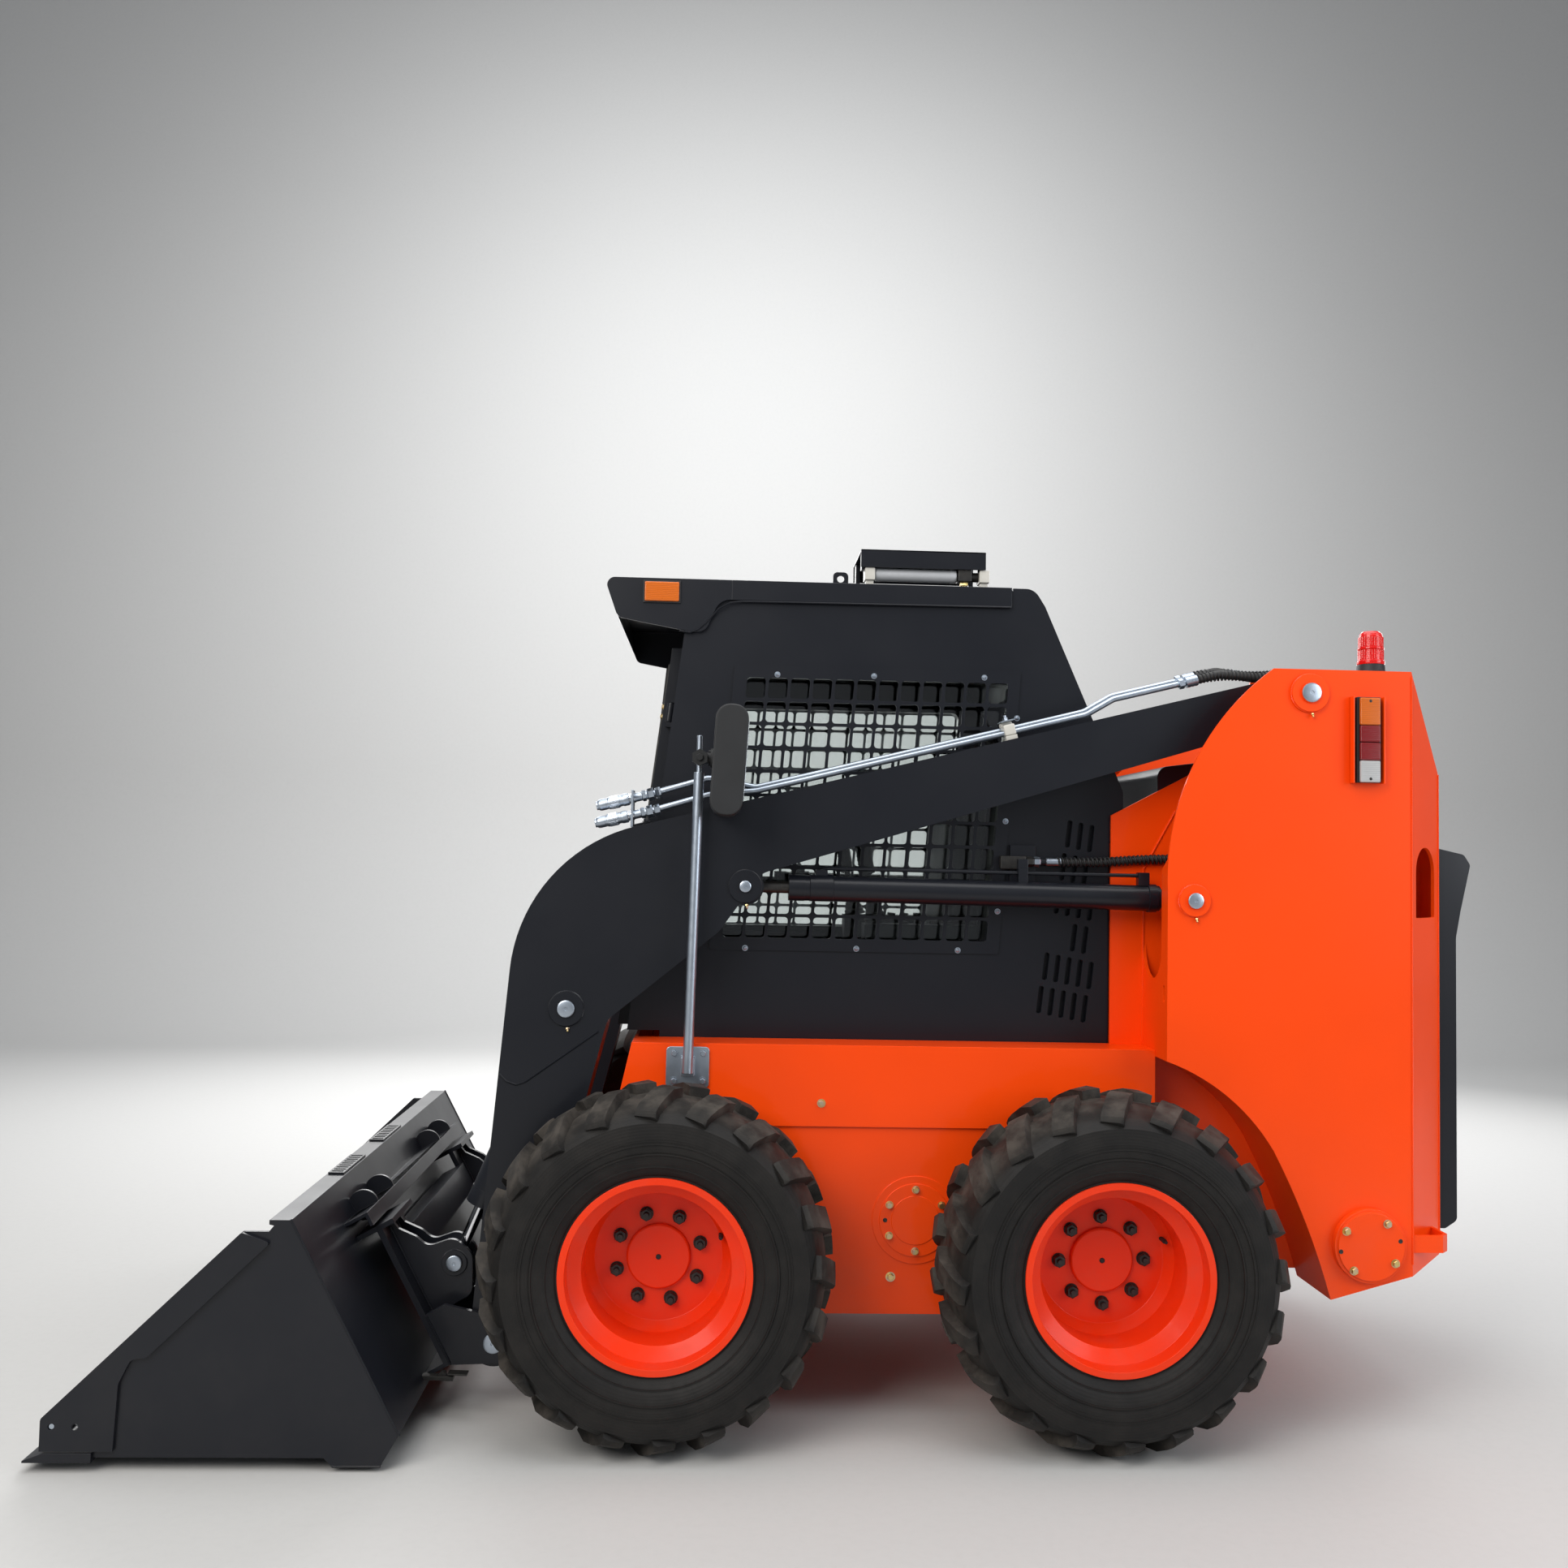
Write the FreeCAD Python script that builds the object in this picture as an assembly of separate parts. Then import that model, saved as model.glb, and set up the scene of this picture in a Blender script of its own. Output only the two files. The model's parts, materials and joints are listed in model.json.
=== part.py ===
import FreeCAD, Part

import math
import os

V = FreeCAD.Vector

# Skid steer loader, millimetres.
# X runs towards the rear and is measured here from the rear axle, Y to the machine's right,
# Z up from the ground. The last step moves the whole machine so that X is centred on its length.

# Wheels: 12-16.5 tyres on eight-stud rims
wheelbase = 1050.0
front_axle = -wheelbase
half_track = 721.5
tyre_radius = 408.0
tyre_width = 305.0
tread_depth = 22.0
tyre_wall = 18.0
lugs_per_side = 20
lug_thickness = 52.0
lug_sweep_deg = 24.0
rim_flange_radius = 218.5
rim_seat_radius = 209.5
rim_width = 253.0
rim_plate = 7.0
disc_inset = 58.0
hub_cap_radius = 75.0
hub_cap_height = 12.5
stud_circle = 203.2
spindle_radius = 45.0
hub_flange_radius = 125.0
hub_depth = 32.0
axle_housing_radius = 80.0

# Clearances
fit_gap = 0.1
seat_gap = 0.3
side_gap = 2.0

# Chassis
plate = 8.0
case_inner = 330.0
case_outer = 552.0
case_bottom = 242.0
case_top = 693.0
case_overhang = 130.0
fender_inner = 436.0
fender_outer = 560.0
fender_top = 891.0
fender_nose_top = 82.0
fender_nose_bottom = 125.0
footwell_floor = 440.0
cover_position = (-0.41 * wheelbase, 469.0)
cover_steps = ((106.0, 3.0), (88.0, 6.0), (59.0, 8.0))

# Towers that carry the loader arms
tower_front = 160.0
tower_inner_front = 75.0
tower_top = 1835.0
tower_bend = 763.0
tower_outer = 653.0
tower_inner = 438.0
tower_chamfer = 130.0
arch_radius = 494.0
tower_knee = (202.0, tower_top - 289.0)
tower_edge_top = tower_top - 556.0
tower_shoulder = 420.0
slot_bottom = 1065.0
slot_outer = 603.0
front_slit = (625.0, 1014.0, 42.0, 14.0)
front_plate_top = tower_top - 498.0
front_slope = (82.0, 149.0)
tow_loop = (425.0, 41.0)
rear_slope_drop = 240.0
handle_slot = (128.0, 174.0, tower_top - 605.0)

# Pivots, as (x, z)
arm_pivot = (508.0, tower_top - 59.0)
lift_base = (225.0, 1263.0)
lift_eye = (front_axle + 187.0, 1275.0)
tilt_base = (front_axle - 244.0, 969.0)
tilt_eye = (front_axle - 502.0, 345.0)
hitch_pin = (front_axle - 395.0, 170.0)
pivot_pin_radius = 25.0
lift_pin_radius = 20.0
tilt_pin_radius = 22.0

# Loader arms
arm_outer = 548.0
boom_inner = 456.0
leg_inner = 384.0
arm_front_corner = (front_axle - 361.0, 1348.0)
arm_front_radius = 400.0
arm_heel = (front_axle - 143.0, 943.0)
arm_throat = (front_axle + 125.0, 1163.0)
arm_chin = (front_axle + 228.0, 1308.0)
arm_tail_radius = 57.0
leg_end_radius = 60.0
leg_back_top = (front_axle - 185.0, 1330.0)
leg_window = (250.0, 715.0)
cylinder_window = (front_axle + 90.0, front_axle + 610.0)
cross_tube = (front_axle - 350.0, 430.0, 72.0)

# Cylinders: tube, bore and rod radii, and lengths along their axes
lift_tube = 32.0
lift_bore = 26.0
lift_rod = 15.0
lift_length = 979.0
lift_middle = 502.0
tilt_tube = 38.0
tilt_bore = 30.0
tilt_rod = 14.0
tilt_length = 533.0
tilt_middle = 466.0
gland_length = 40.0
eye_radius = 35.0
eye_width = 50.0
frame_hose_radius = 8.0
frame_hose_height = 1350.0
frame_fitting = 116.0
arm_hose_radius = 11.0
pipe_radius = 7.5
pipe_bend = 45.0
coupler_x = front_axle - 62.0
pipe_rear = 245.0

# Bucket and hitch
bucket_half = 900.0
bucket_plate = 10.0
bucket_floor = 30.0
bucket_tip = front_axle - 1340.0
blade_end = front_axle - 1195.0
blade_bottom = 22.0
blade_top = 42.0
bucket_corner = (front_axle - 545.0, 79.0)
bucket_heel = (front_axle - 584.0, front_axle - 685.0, 10.0)
bucket_lip = (front_axle - 792.0, 537.0)
lip_depth = 47.0
cheek_nose = (front_axle - 1305.0, 114.0)
cheek_top = (front_axle - 895.0, 512.0)
cutter_holes = (front_axle - 1281.0, front_axle - 1231.0)
cutter_hole_height = 98.0
cutter_hole_radius = 7.0
step_grille = (224.0, 10.0, 9, 24.0)
step_middles = (-317.0, 112.0)
rib_height = 430.0
rib_depth = 60.0
rib_half = 600.0
gusset_radius = 37.0
hitch_plate = 14.0
hitch_stand = 50.0
hitch_span = (12.0, 386.0)
hitch_rows = (366.0, 424.0, 494.0, 552.0)
hitch_ear = 14.0

# Cab
cab_half = 430.0
cab_wall = 45.0
cab_floor = 906.0
cab_top = 2000.0
cab_rear = 75.0
pillar_foot = front_axle - 102.0
pillar_head = front_axle + 29.0
roof_top = 2057.0
roof_skirt = 2005.0
roof_half = 440.0
roof_front = front_axle - 189.0
roof_rear = -187.0
visor_bottom = 1922.0
visor_length = 110.0
lifting_eye = (-630.0, roof_top + 16.0, 9.0)
cab_back_low = (110.0, 1535.0)
cab_back_high = (-98.0, 2011.0)
guard_sheet = 5.0
mesh_columns = 12
mesh_rows = 11
mesh_pitch_z = 61.1
mesh_bar = 8.0
mesh_corner = 9.0
mesh_start = (front_axle + 179.0, 1812.0)
mesh_rear = -188.2
mesh_pitch_x = (mesh_rear - mesh_start[0]) / mesh_columns
mesh_lean = 0.075
guard_margin = 28.0
vent_corner = (-104.8, 963.5)
vent_step = (28.7, -5.5)
vent_row = (14.0, 85.0)
side_vents = ((0, 5), (0, 5), (2, 2), (0, 4), (0, 3), (0, 3))
vent_size = (70.0, 13.0)
vent_lean = 0.11
vent_depth = 20.0
door_half = 340.0
door_depth = 30.0
door_frame = 55.0
door_pin_out = 11.0
glass = 6.0
sole = 30.0
seat_rise = 74.0
seat_height = cab_floor + sole + seat_rise
seat_back_rise = 550.0
seat_half = 240.0
pod_middle = 310.0
pod_half = 45.0
pod_length = 297.0
pod_rise = 170.0

# Engine block as (front, rear, half width, bottom, top), its head, and the hood over it
engine_box = (260.0, 740.0, 230.0, 430.0, 1050.0)
engine_head = 180.0
hood_foot = (197.0, 1415.0)
hood_top = 1600.0
hood_rear = 880.0

# Fittings outside; the lamps are (front, rear, bottom, top, depth)
rear_cover = (111.0, 445.0, ((88.0, 18.0), (81.0, 24.0)))
beacon_size = (685.0, -600.0, 36.0, 22.0, 32.0, 84.0)
tail_lamp = (608.0, 688.0, tower_top - 278.0, tower_top - 66.0, 30.0)
marker_lamp = (roof_front + 101.0, roof_front + 197.0, roof_top - 65.0, roof_top - 7.0, 10.5)
mirror_foot = (front_axle + 3.0, 784.0)
mirror_reach = 30.0
mirror_pole = 12.5
mirror_height = 730.0
roof_tray = (-575.0, -245.0, -380.0, -150.0, 75.0, 28.0)
drum_radius = 26.0

# Rear door
rear_gap = 5.0
rear_half = 500.0
rear_top = 1406.0
rear_bottom = 448.0
rear_depth = 53.0
rear_lip = (91.0, rear_top - 42.0)
rear_skin = 6.0
louvre = (260.0, 22.0, 50.0, 8, 640.0)
louvre_middle = 200.0
hinge_pin = 6.0
knuckle_radius = 10.0
knuckle_height = 50.0
leaf_height = 13.0
rear_hinges = (620.0, 1180.0)
front_hinges = (1010.0, 1700.0)


def point(place, u, w):
    """A point of an outline, set in the plane that place names, at the distance that it gives."""
    axis, away = place
    if axis == "y":
        return V(u, away, w)
    if axis == "x":
        return V(away, u, w)
    return V(u, w, away)


def rounded(corners, place):
    """Flat face of a polygon whose corners are (u, w, radius)."""
    count = len(corners)
    stops = []
    for i, (u, w, radius) in enumerate(corners):
        here = V(u, w, 0)
        back = V(*corners[i - 1][:2], 0) - here
        ahead = V(*corners[(i + 1) % count][:2], 0) - here
        back.normalize()
        ahead.normalize()
        if radius == 0:
            stops.append((here, None, here))
            continue
        half = back.getAngle(ahead) / 2
        middle = back + ahead
        middle.normalize()
        run = radius / math.tan(half)
        reach = radius / math.sin(half) - radius
        stops.append((here + back * run, here + middle * reach, here + ahead * run))
    edges = []
    for i, (start, middle, end) in enumerate(stops):
        before = stops[i - 1][2]
        if (start - before).Length > 0.001:
            edges.append(Part.LineSegment(point(place, before.x, before.y), point(place, start.x, start.y)))
        if middle is not None:
            edges.append(Part.Arc(*(point(place, p.x, p.y) for p in (start, middle, end))))
    return Part.Face(Part.Wire([e.toShape() for e in edges]))


def traced(start, steps, place):
    """Flat face of an outline: each step is a point to go straight to, or (via, to) for an arc."""
    edges = []
    here = start
    for step in steps + [start]:
        if isinstance(step[0], tuple):
            via, here_next = step
            edges.append(Part.Arc(point(place, *here), point(place, *via), point(place, *here_next)))
        else:
            here_next = step
            edges.append(Part.LineSegment(point(place, *here), point(place, *here_next)))
        here = here_next
    return Part.Face(Part.Wire([e.toShape() for e in edges]))


def plate_y(corners, y0, y1):
    return rounded(corners, ("y", y0)).extrude(V(0, y1 - y0, 0))


def plate_x(corners, x0, x1):
    return rounded(corners, ("x", x0)).extrude(V(x1 - x0, 0, 0))


def plate_z(corners, z0, z1):
    return rounded(corners, ("z", z0)).extrude(V(0, 0, z1 - z0))


def sharp(points):
    return [(u, w, 0) for u, w in points]


def box(x0, x1, y0, y1, z0, z1):
    return Part.makeBox(x1 - x0, y1 - y0, z1 - z0, V(x0, y0, z0))


def pin(centre, radius, y0, y1):
    """Round bar along Y through the (x, z) centre."""
    return Part.makeCylinder(radius, y1 - y0, V(centre[0], y0, centre[1]), V(0, 1, 0))


def turned(profile, centre):
    """Solid of revolution about the Y line through centre, from (y, radius) points."""
    x, z = centre
    wire = Part.makePolygon([V(x, y, z + r) for y, r in profile + profile[:1]])
    return Part.Face(wire).revolve(V(x, 0, z), V(0, 1, 0), 360)


def mirrored(shape):
    return shape.mirror(V(0, 0, 0), V(0, 1, 0))


def one(whole, *others):
    for other in others:
        whole = whole.fuse(other)
    return whole.removeSplitter()


def between(shape, start, end, y):
    """Moves a shape that was made along +X from the origin so that it runs from start to end."""
    turn = math.degrees(math.atan2(end[1] - start[1], end[0] - start[0]))
    shape = shape.copy()
    shape.rotate(V(0, 0, 0), V(0, 1, 0), -turn)
    shape.translate(V(start[0], y, start[1]))
    return shape


def distance(a, b):
    return math.hypot(b[0] - a[0], b[1] - a[1])


nodes = {}
axles = {"front": (front_axle, tyre_radius), "rear": (0.0, tyre_radius)}
sides = {"left": -1, "right": 1}


# Wheels
def tyre_shape():
    """Tyre about the origin with its outer side towards +Y, lugs fused to the casing."""
    half = tyre_width / 2
    casing_radius = tyre_radius - tread_depth
    bead = rim_width / 2 - rim_plate - seat_gap
    inside = rim_seat_radius + seat_gap
    section = [
        (bead, inside), (bead, rim_flange_radius + 4), (half - 9, inside + 50), (half, inside + 92),
        (half - 4, casing_radius - 42), (half - 20, casing_radius - 26), (half - 45, casing_radius - 15),
        (half - 94, casing_radius), (0, casing_radius),
    ]
    wall = tyre_wall
    inner = [
        (bead - wall, inside), (bead - wall, inside + 12), (half - 9 - wall, inside + 58),
        (half - wall, inside + 92),
        (half - 4 - wall, casing_radius - 46 - wall / 2), (half - 26 - wall, casing_radius - 20 - wall),
    ]
    outer = section + [(-y, r) for y, r in reversed(section[:-1])]
    lining = [(-y, r) for y, r in inner] + list(reversed(inner))
    casing = turned(outer + lining, (0, 0))
    profile = [
        (12, casing_radius - 6), (12, tyre_radius), (half - 94, tyre_radius), (half - 45, tyre_radius - 16),
        (half - 20, tyre_radius - 27), (half - 4, tyre_radius - 38), (half, tyre_radius - 50),
        (half - 14, casing_radius - 41), (half - 45, casing_radius - 23), (half - 94, casing_radius - 6),
    ]
    wire = Part.makePolygon([V(-lug_thickness / 2, y, r) for y, r in profile + profile[:1]])
    lug = Part.Face(wire).extrude(V(lug_thickness, 0, 0))
    lug.rotate(V(0, half / 2, 0), V(0, 0, 1), lug_sweep_deg)
    pitch = 360.0 / lugs_per_side
    lugs = []
    for i in range(lugs_per_side):
        for side, offset in ((0, 0.0), (1, 0.5)):
            copy = mirrored(lug) if side else lug.copy()
            copy.rotate(V(0, 0, 0), V(0, 1, 0), (i + offset) * pitch)
            lugs.append(copy)
    return casing.fuse(lugs).common(pin((0, 0), tyre_radius, -half, half))


def rim_shape():
    """Rim, disc, hub flange and spindle about the origin, outer side towards +Y."""
    half = rim_width / 2
    seat = rim_seat_radius
    well = seat - 32
    barrel = [
        (half, rim_flange_radius), (half - rim_plate, rim_flange_radius), (half - rim_plate, seat),
        (half - 45, seat), (half - 62, well), (62 - half, well), (45 - half, seat), (rim_plate - half, seat),
        (rim_plate - half, rim_flange_radius), (-half, rim_flange_radius), (-half, seat - rim_plate),
        (48 - half, seat - rim_plate), (66 - half, well - rim_plate), (half - 66, well - rim_plate),
        (half - 48, seat - rim_plate), (half, seat - rim_plate),
    ]
    face = -disc_inset
    disc = [
        (face + hub_cap_height, 0), (face + hub_cap_height, hub_cap_radius - 4), (face + 9, hub_cap_radius),
        (face, hub_cap_radius), (face, stud_circle / 2 + 48), (face + 26, well - rim_plate + 1),
        (face + 14, well - rim_plate + 1), (face - 10, stud_circle / 2 + 50), (face - 10, hub_flange_radius),
        (face - 27, hub_flange_radius), (face - 27, spindle_radius + 22), (face - hub_depth, spindle_radius),
        (face - 74, spindle_radius), (face - 74, 0),
    ]
    return one(turned(barrel, (0, 0)), turned(disc, (0, 0)))


def add_wheels():
    tyre = tyre_shape()
    rim = rim_shape()
    for end, (x, z) in axles.items():
        for side, sign in sides.items():
            for name, shape in (("tyre", tyre), ("rim", rim)):
                copy = shape.copy() if sign > 0 else mirrored(shape)
                copy.translate(V(x, sign * half_track, z))
                nodes[f"{name}_{end}_{side}"] = copy


# Chassis
def fender_side():
    """Chain case with the closed fender box above it, the axle housings and the round cover, right side."""
    nose = front_axle - case_overhang
    case = box(nose, case_overhang, case_inner, case_outer, case_bottom, case_top)
    fender = plate_y(
        sharp([
            (front_axle - fender_nose_bottom, case_top), (tower_front, case_top),
            (tower_front, fender_top), (front_axle - fender_nose_top, fender_top),
        ]),
        fender_inner, fender_outer,
    )
    parts = [case, fender]
    housing_end = half_track - disc_inset - hub_depth - side_gap
    for centre in axles.values():
        housing = pin(centre, axle_housing_radius, case_outer - plate, housing_end)
        parts.append(housing)
    for radius, height in cover_steps:
        parts.append(pin(cover_position, radius, case_outer, case_outer + height))
    body = one(parts[0], *parts[1:])
    t = plate
    room = box(nose + t, case_overhang - t, case_inner + t, case_outer - t, case_bottom + t, case_top - t)
    attic = plate_y(
        sharp([
            (front_axle - fender_nose_bottom + t, case_top - 2 * t), (tower_front - t, case_top - 2 * t),
            (tower_front - t, fender_top - t), (front_axle - fender_nose_top + t, fender_top - t),
        ]),
        fender_inner + t, case_outer - t,
    )
    body = body.cut([room, attic])
    for centre in axles.values():
        body = body.cut(pin(centre, spindle_radius + fit_gap, case_outer - 3 * plate, housing_end))
    return body


def add_main_frame():
    nose = front_axle - case_overhang
    right = fender_side()
    rear_floor = case_bottom + 90
    cross = [
        box(nose, case_overhang, -case_inner, case_inner, case_bottom, case_bottom + plate),
        box(nose, nose + plate, -case_inner, case_inner, case_bottom, case_top),
        box(nose, nose + 620, -case_inner, case_inner, footwell_floor, footwell_floor + plate),
        box(nose + 620, nose + 620 + plate, -case_inner, case_inner, footwell_floor, case_top),
        box(front_axle - fender_nose_top, front_axle - fender_nose_top + plate, -fender_inner, fender_inner,
            case_top - plate, fender_top),
        box(case_overhang - plate, case_overhang, -case_inner, case_inner, case_bottom, case_top - 150),
        box(case_overhang - plate, tower_bend + tower_chamfer - plate, -tower_inner, tower_inner,
            rear_floor, rear_floor + plate),
        box(tower_bend + tower_chamfer - plate, tower_bend + tower_chamfer, -tower_inner, tower_inner,
            rear_floor, rear_bottom - 20),
    ]
    nodes["main_frame"] = one(right, mirrored(right), *cross)


# Towers
def arch_path(offset):
    """Wheel arch from the tower's front edge to its foot, as (start, arc, arc), offset outwards."""
    radius = arch_radius + offset
    centre_z = tyre_radius
    top_angle = math.acos(tower_front / radius)
    low_angle = math.radians(31.2)
    middle = (top_angle + low_angle) / 2

    def on_arch(angle):
        return (radius * math.cos(angle), centre_z + radius * math.sin(angle))

    foot = (562.0 + offset, 313.0)
    bow = (507.0 + offset, 479.0)
    return on_arch(top_angle), (on_arch(middle), on_arch(low_angle)), (bow, foot)


def tower_shape():
    """Right tower: outer plate with wheel arch, inner plate, front plate, arch liner, bent rear corner."""
    rear = tower_bend + tower_chamfer
    outer_inside = tower_outer - plate
    inner_outside = tower_inner + plate
    start, bend, foot = arch_path(0.0)
    outer = traced(
        (tower_front, tower_edge_top),
        [(tower_knee, (tower_shoulder, tower_top)), (tower_bend, tower_top), (tower_bend, 370.0), foot[1],
         (foot[0], bend[1]), (bend[0], start)],
        ("y", outer_inside),
    ).extrude(V(0, plate, 0))
    inner = plate_y(
        sharp([
            (tower_inner_front, fender_top), (tower_inner_front, tower_top - 362.0),
            (tower_inner_front + 200.0, tower_top - 255.0), (tower_inner_front + 325.0, tower_top - 135.0),
            (tower_inner_front + 365.0, tower_top), (tower_bend, tower_top),
            (rear - plate, tower_top - rear_slope_drop + 15),
            (rear - plate, 332.0), (180.0, 332.0), (180.0, fender_top),
        ]),
        tower_inner, inner_outside,
    )
    front = box(tower_front, tower_front + plate, inner_outside, outer_inside, start[1], front_plate_top)
    over, up = front_slope
    steepness = math.hypot(over, up)
    back_x = plate * up / steepness
    back_z = -plate * over / steepness
    strip = plate_y(
        sharp([
            (tower_front, front_plate_top), (tower_front + over, front_plate_top + up),
            (tower_front + over + back_x, front_plate_top + up + back_z),
            (tower_front + back_x, front_plate_top + back_z),
        ]),
        inner_outside, outer_inside,
    )
    front = front.fuse(strip)
    slot_inner = inner_outside + side_gap
    slot_half = (slot_outer - slot_inner) / 2
    slot_middle = (slot_outer + slot_inner) / 2
    slot = box(0, 400, tower_inner, slot_outer, slot_bottom + slot_half, 2000)
    slot_round = Part.makeCylinder(slot_half, 400, V(0, slot_middle, slot_bottom + slot_half), V(1, 0, 0))
    slit_y, slit_low, slit_tall, slit_wide = front_slit
    slit_end = slit_wide / 2 - 0.5
    slit = plate_x([(slit_y - slit_wide / 2, slit_low, slit_end),
                    (slit_y + slit_wide / 2, slit_low, slit_end),
                    (slit_y + slit_wide / 2, slit_low + slit_tall, slit_end),
                    (slit_y - slit_wide / 2, slit_low + slit_tall, slit_end)], tower_front - 1,
                   tower_front + plate + 1)
    front = front.cut([slot, slot_round, slit])
    far_start, far_bend, far_foot = arch_path(plate)
    liner = traced(
        start, [bend, foot, far_foot[1], (far_foot[0], far_bend[1]), (far_bend[0], far_start)],
        ("y", inner_outside),
    ).extrude(V(0, outer_inside - inner_outside, 0))

    slope = sharp([
        (tower_bend - 20, 370.0), (tower_bend, 370.0), (rear, 390.0), (rear, tower_top - rear_slope_drop),
        (tower_bend, tower_top), (tower_bend - 20, tower_top),
    ])
    run = plate * math.sqrt(0.5)
    corner = plate_z(
        sharp([
            (tower_bend, tower_outer), (rear, tower_outer - tower_chamfer),
            (rear - run, tower_outer - tower_chamfer - run), (tower_bend - run, tower_outer - run),
        ]),
        300.0, tower_top,
    ).common(plate_y(slope, tower_inner, tower_outer))
    wide, tall, low = handle_slot
    opening = rounded(
        [(-wide / 2, low, 4), (wide / 2, low, 4), (wide / 2, low + tall, wide / 2 - 1),
         (-wide / 2, low + tall, wide / 2 - 1)],
        ("x", -40.0),
    ).extrude(V(80, 0, 0))
    opening.rotate(V(0, 0, 0), V(0, 0, 1), 45)
    middle = tower_chamfer / 2
    opening.translate(V(tower_bend + middle, tower_outer - middle, 0))
    corner = corner.cut(opening)
    back = box(rear - plate, rear, tower_inner, tower_outer - tower_chamfer, 390.0,
               tower_top - rear_slope_drop)
    lid_front = arm_pivot[0] + 112
    lid = box(lid_front, tower_bend, inner_outside, outer_inside, tower_top - plate, tower_top)
    steep = math.hypot(tower_chamfer, rear_slope_drop)
    drop = plate * steep / tower_chamfer
    ramp = plate_y(
        sharp([
            (tower_bend, tower_top), (rear, tower_top - rear_slope_drop),
            (rear, tower_top - rear_slope_drop - drop), (tower_bend, tower_top - drop),
        ]),
        tower_inner, tower_outer,
    ).common(plate_z(
        sharp([(tower_bend, tower_inner), (rear, tower_inner), (rear, tower_outer - tower_chamfer),
               (tower_bend, tower_outer)]),
        300.0, tower_top,
    ))
    pins = [
        pin(arm_pivot, pivot_pin_radius, tower_inner, tower_outer + 15),
        pin(arm_pivot, 46.0, tower_outer, tower_outer + 10),
        pin(lift_base, lift_pin_radius, tower_inner, tower_outer + 13),
        pin(lift_base, 38.0, tower_outer, tower_outer + 8),
        pin(lift_base, 30.0, inner_outside, lift_middle - eye_width / 2 - side_gap),
        pin(lift_base, 30.0, lift_middle + eye_width / 2 + side_gap, outer_inside),
    ]
    low, height = tow_loop
    far = middle + tower_chamfer / 4
    loop = plate_z(
        sharp([
            (tower_bend + 5, tower_outer - 5), (tower_bend + far - 20, tower_outer - 5),
            (tower_bend + far, tower_outer - 25), (tower_bend + far, tower_outer - far),
            (tower_bend + far - plate, tower_outer - far + plate),
            (tower_bend + far - plate, tower_outer - 28),
            (tower_bend + far - 23, tower_outer - 5 - plate),
            (tower_bend + 5 + plate, tower_outer - 5 - plate),
        ]),
        low, low + height,
    )
    return one(outer, inner, front, liner, corner, back, lid, ramp, loop, *pins)


rear_axis = (tower_bend + tower_chamfer + knuckle_radius + 1.5, rear_half + knuckle_radius + 2.0)


def add_towers():
    right = tower_shape()
    nodes["tower_left"] = mirrored(right)
    x, y = rear_axis
    steel = tower_bend + tower_chamfer - plate
    leaves = []
    for z in rear_hinges:
        for low in (z - 1 - leaf_height, z + knuckle_height + 1):
            leaves.append(box(steel, x + hinge_pin, y - knuckle_radius + 1, y + knuckle_radius, low,
                              low + leaf_height))
        leaves.append(Part.makeCylinder(hinge_pin, knuckle_height + 2 + 2 * leaf_height,
                                        V(x, y, z - 1 - leaf_height)))
    nodes["tower_right"] = one(right, *leaves)


# Loader arms
def touching(place, centre, radius, side):
    """Angle of the line from place that touches a circle on its left (1) or right (-1) side."""
    reach = distance(place, centre)
    straight = math.atan2(centre[1] - place[1], centre[0] - place[0])
    return straight + side * math.asin(radius / reach)


def arm_corners():
    """Arm side outline, rounded about the pivot at its tail and about the hitch pin at its foot."""
    x_tail = arm_pivot[0] + arm_tail_radius
    z_foot = hitch_pin[1] - leg_end_radius
    top = math.tan(touching(arm_front_corner, arm_pivot, arm_tail_radius, 1))
    under = math.tan(touching(arm_chin, arm_pivot, arm_tail_radius, -1))
    shin = math.tan(touching(arm_front_corner, hitch_pin, leg_end_radius, -1))
    calf = math.tan(touching(arm_heel, hitch_pin, leg_end_radius, 1))
    return [
        (arm_front_corner[0] + (z_foot - arm_front_corner[1]) / shin, z_foot, leg_end_radius),
        (*arm_front_corner, arm_front_radius),
        (x_tail, arm_front_corner[1] + (x_tail - arm_front_corner[0]) * top, arm_tail_radius),
        (x_tail, arm_chin[1] + (x_tail - arm_chin[0]) * under, arm_tail_radius),
        (*arm_chin, 40),
        (*arm_throat, 30),
        (*arm_heel, 30),
        (arm_heel[0] + (z_foot - arm_heel[1]) / calf, z_foot, leg_end_radius),
    ]


def inset(corners, depth):
    """The same clockwise outline pulled in by depth all round."""
    count = len(corners)
    out = []
    for i, (u, w, radius) in enumerate(corners):
        here = V(u, w, 0)
        before = here - V(*corners[i - 1][:2], 0)
        after = V(*corners[(i + 1) % count][:2], 0) - here
        before.normalize()
        after.normalize()
        first = V(before.y, -before.x, 0)
        second = V(after.y, -after.x, 0)
        move = (first + second) * (depth / (1 + first.dot(second)))
        outward = before.x * after.y - before.y * after.x > 0
        change = depth if outward else -depth
        out.append((u + move.x, w + move.y, radius + change if radius else 0))
    return out


def leg_region(shrink):
    """Everything ahead of the wide leg's back wall."""
    back = leg_back_top[0] - shrink
    heel = arm_heel[0] - shrink
    return sharp([
        (tilt_eye[0] - 500.0, 0.0), (heel + 200.0, 0.0), (heel + 200.0, arm_heel[1] - 200),
        (heel + 60, arm_heel[1] - 60), (heel, arm_heel[1]), (back, leg_back_top[1]), (back, tower_top),
        (tilt_eye[0] - 500.0, tower_top),
    ])


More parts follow.
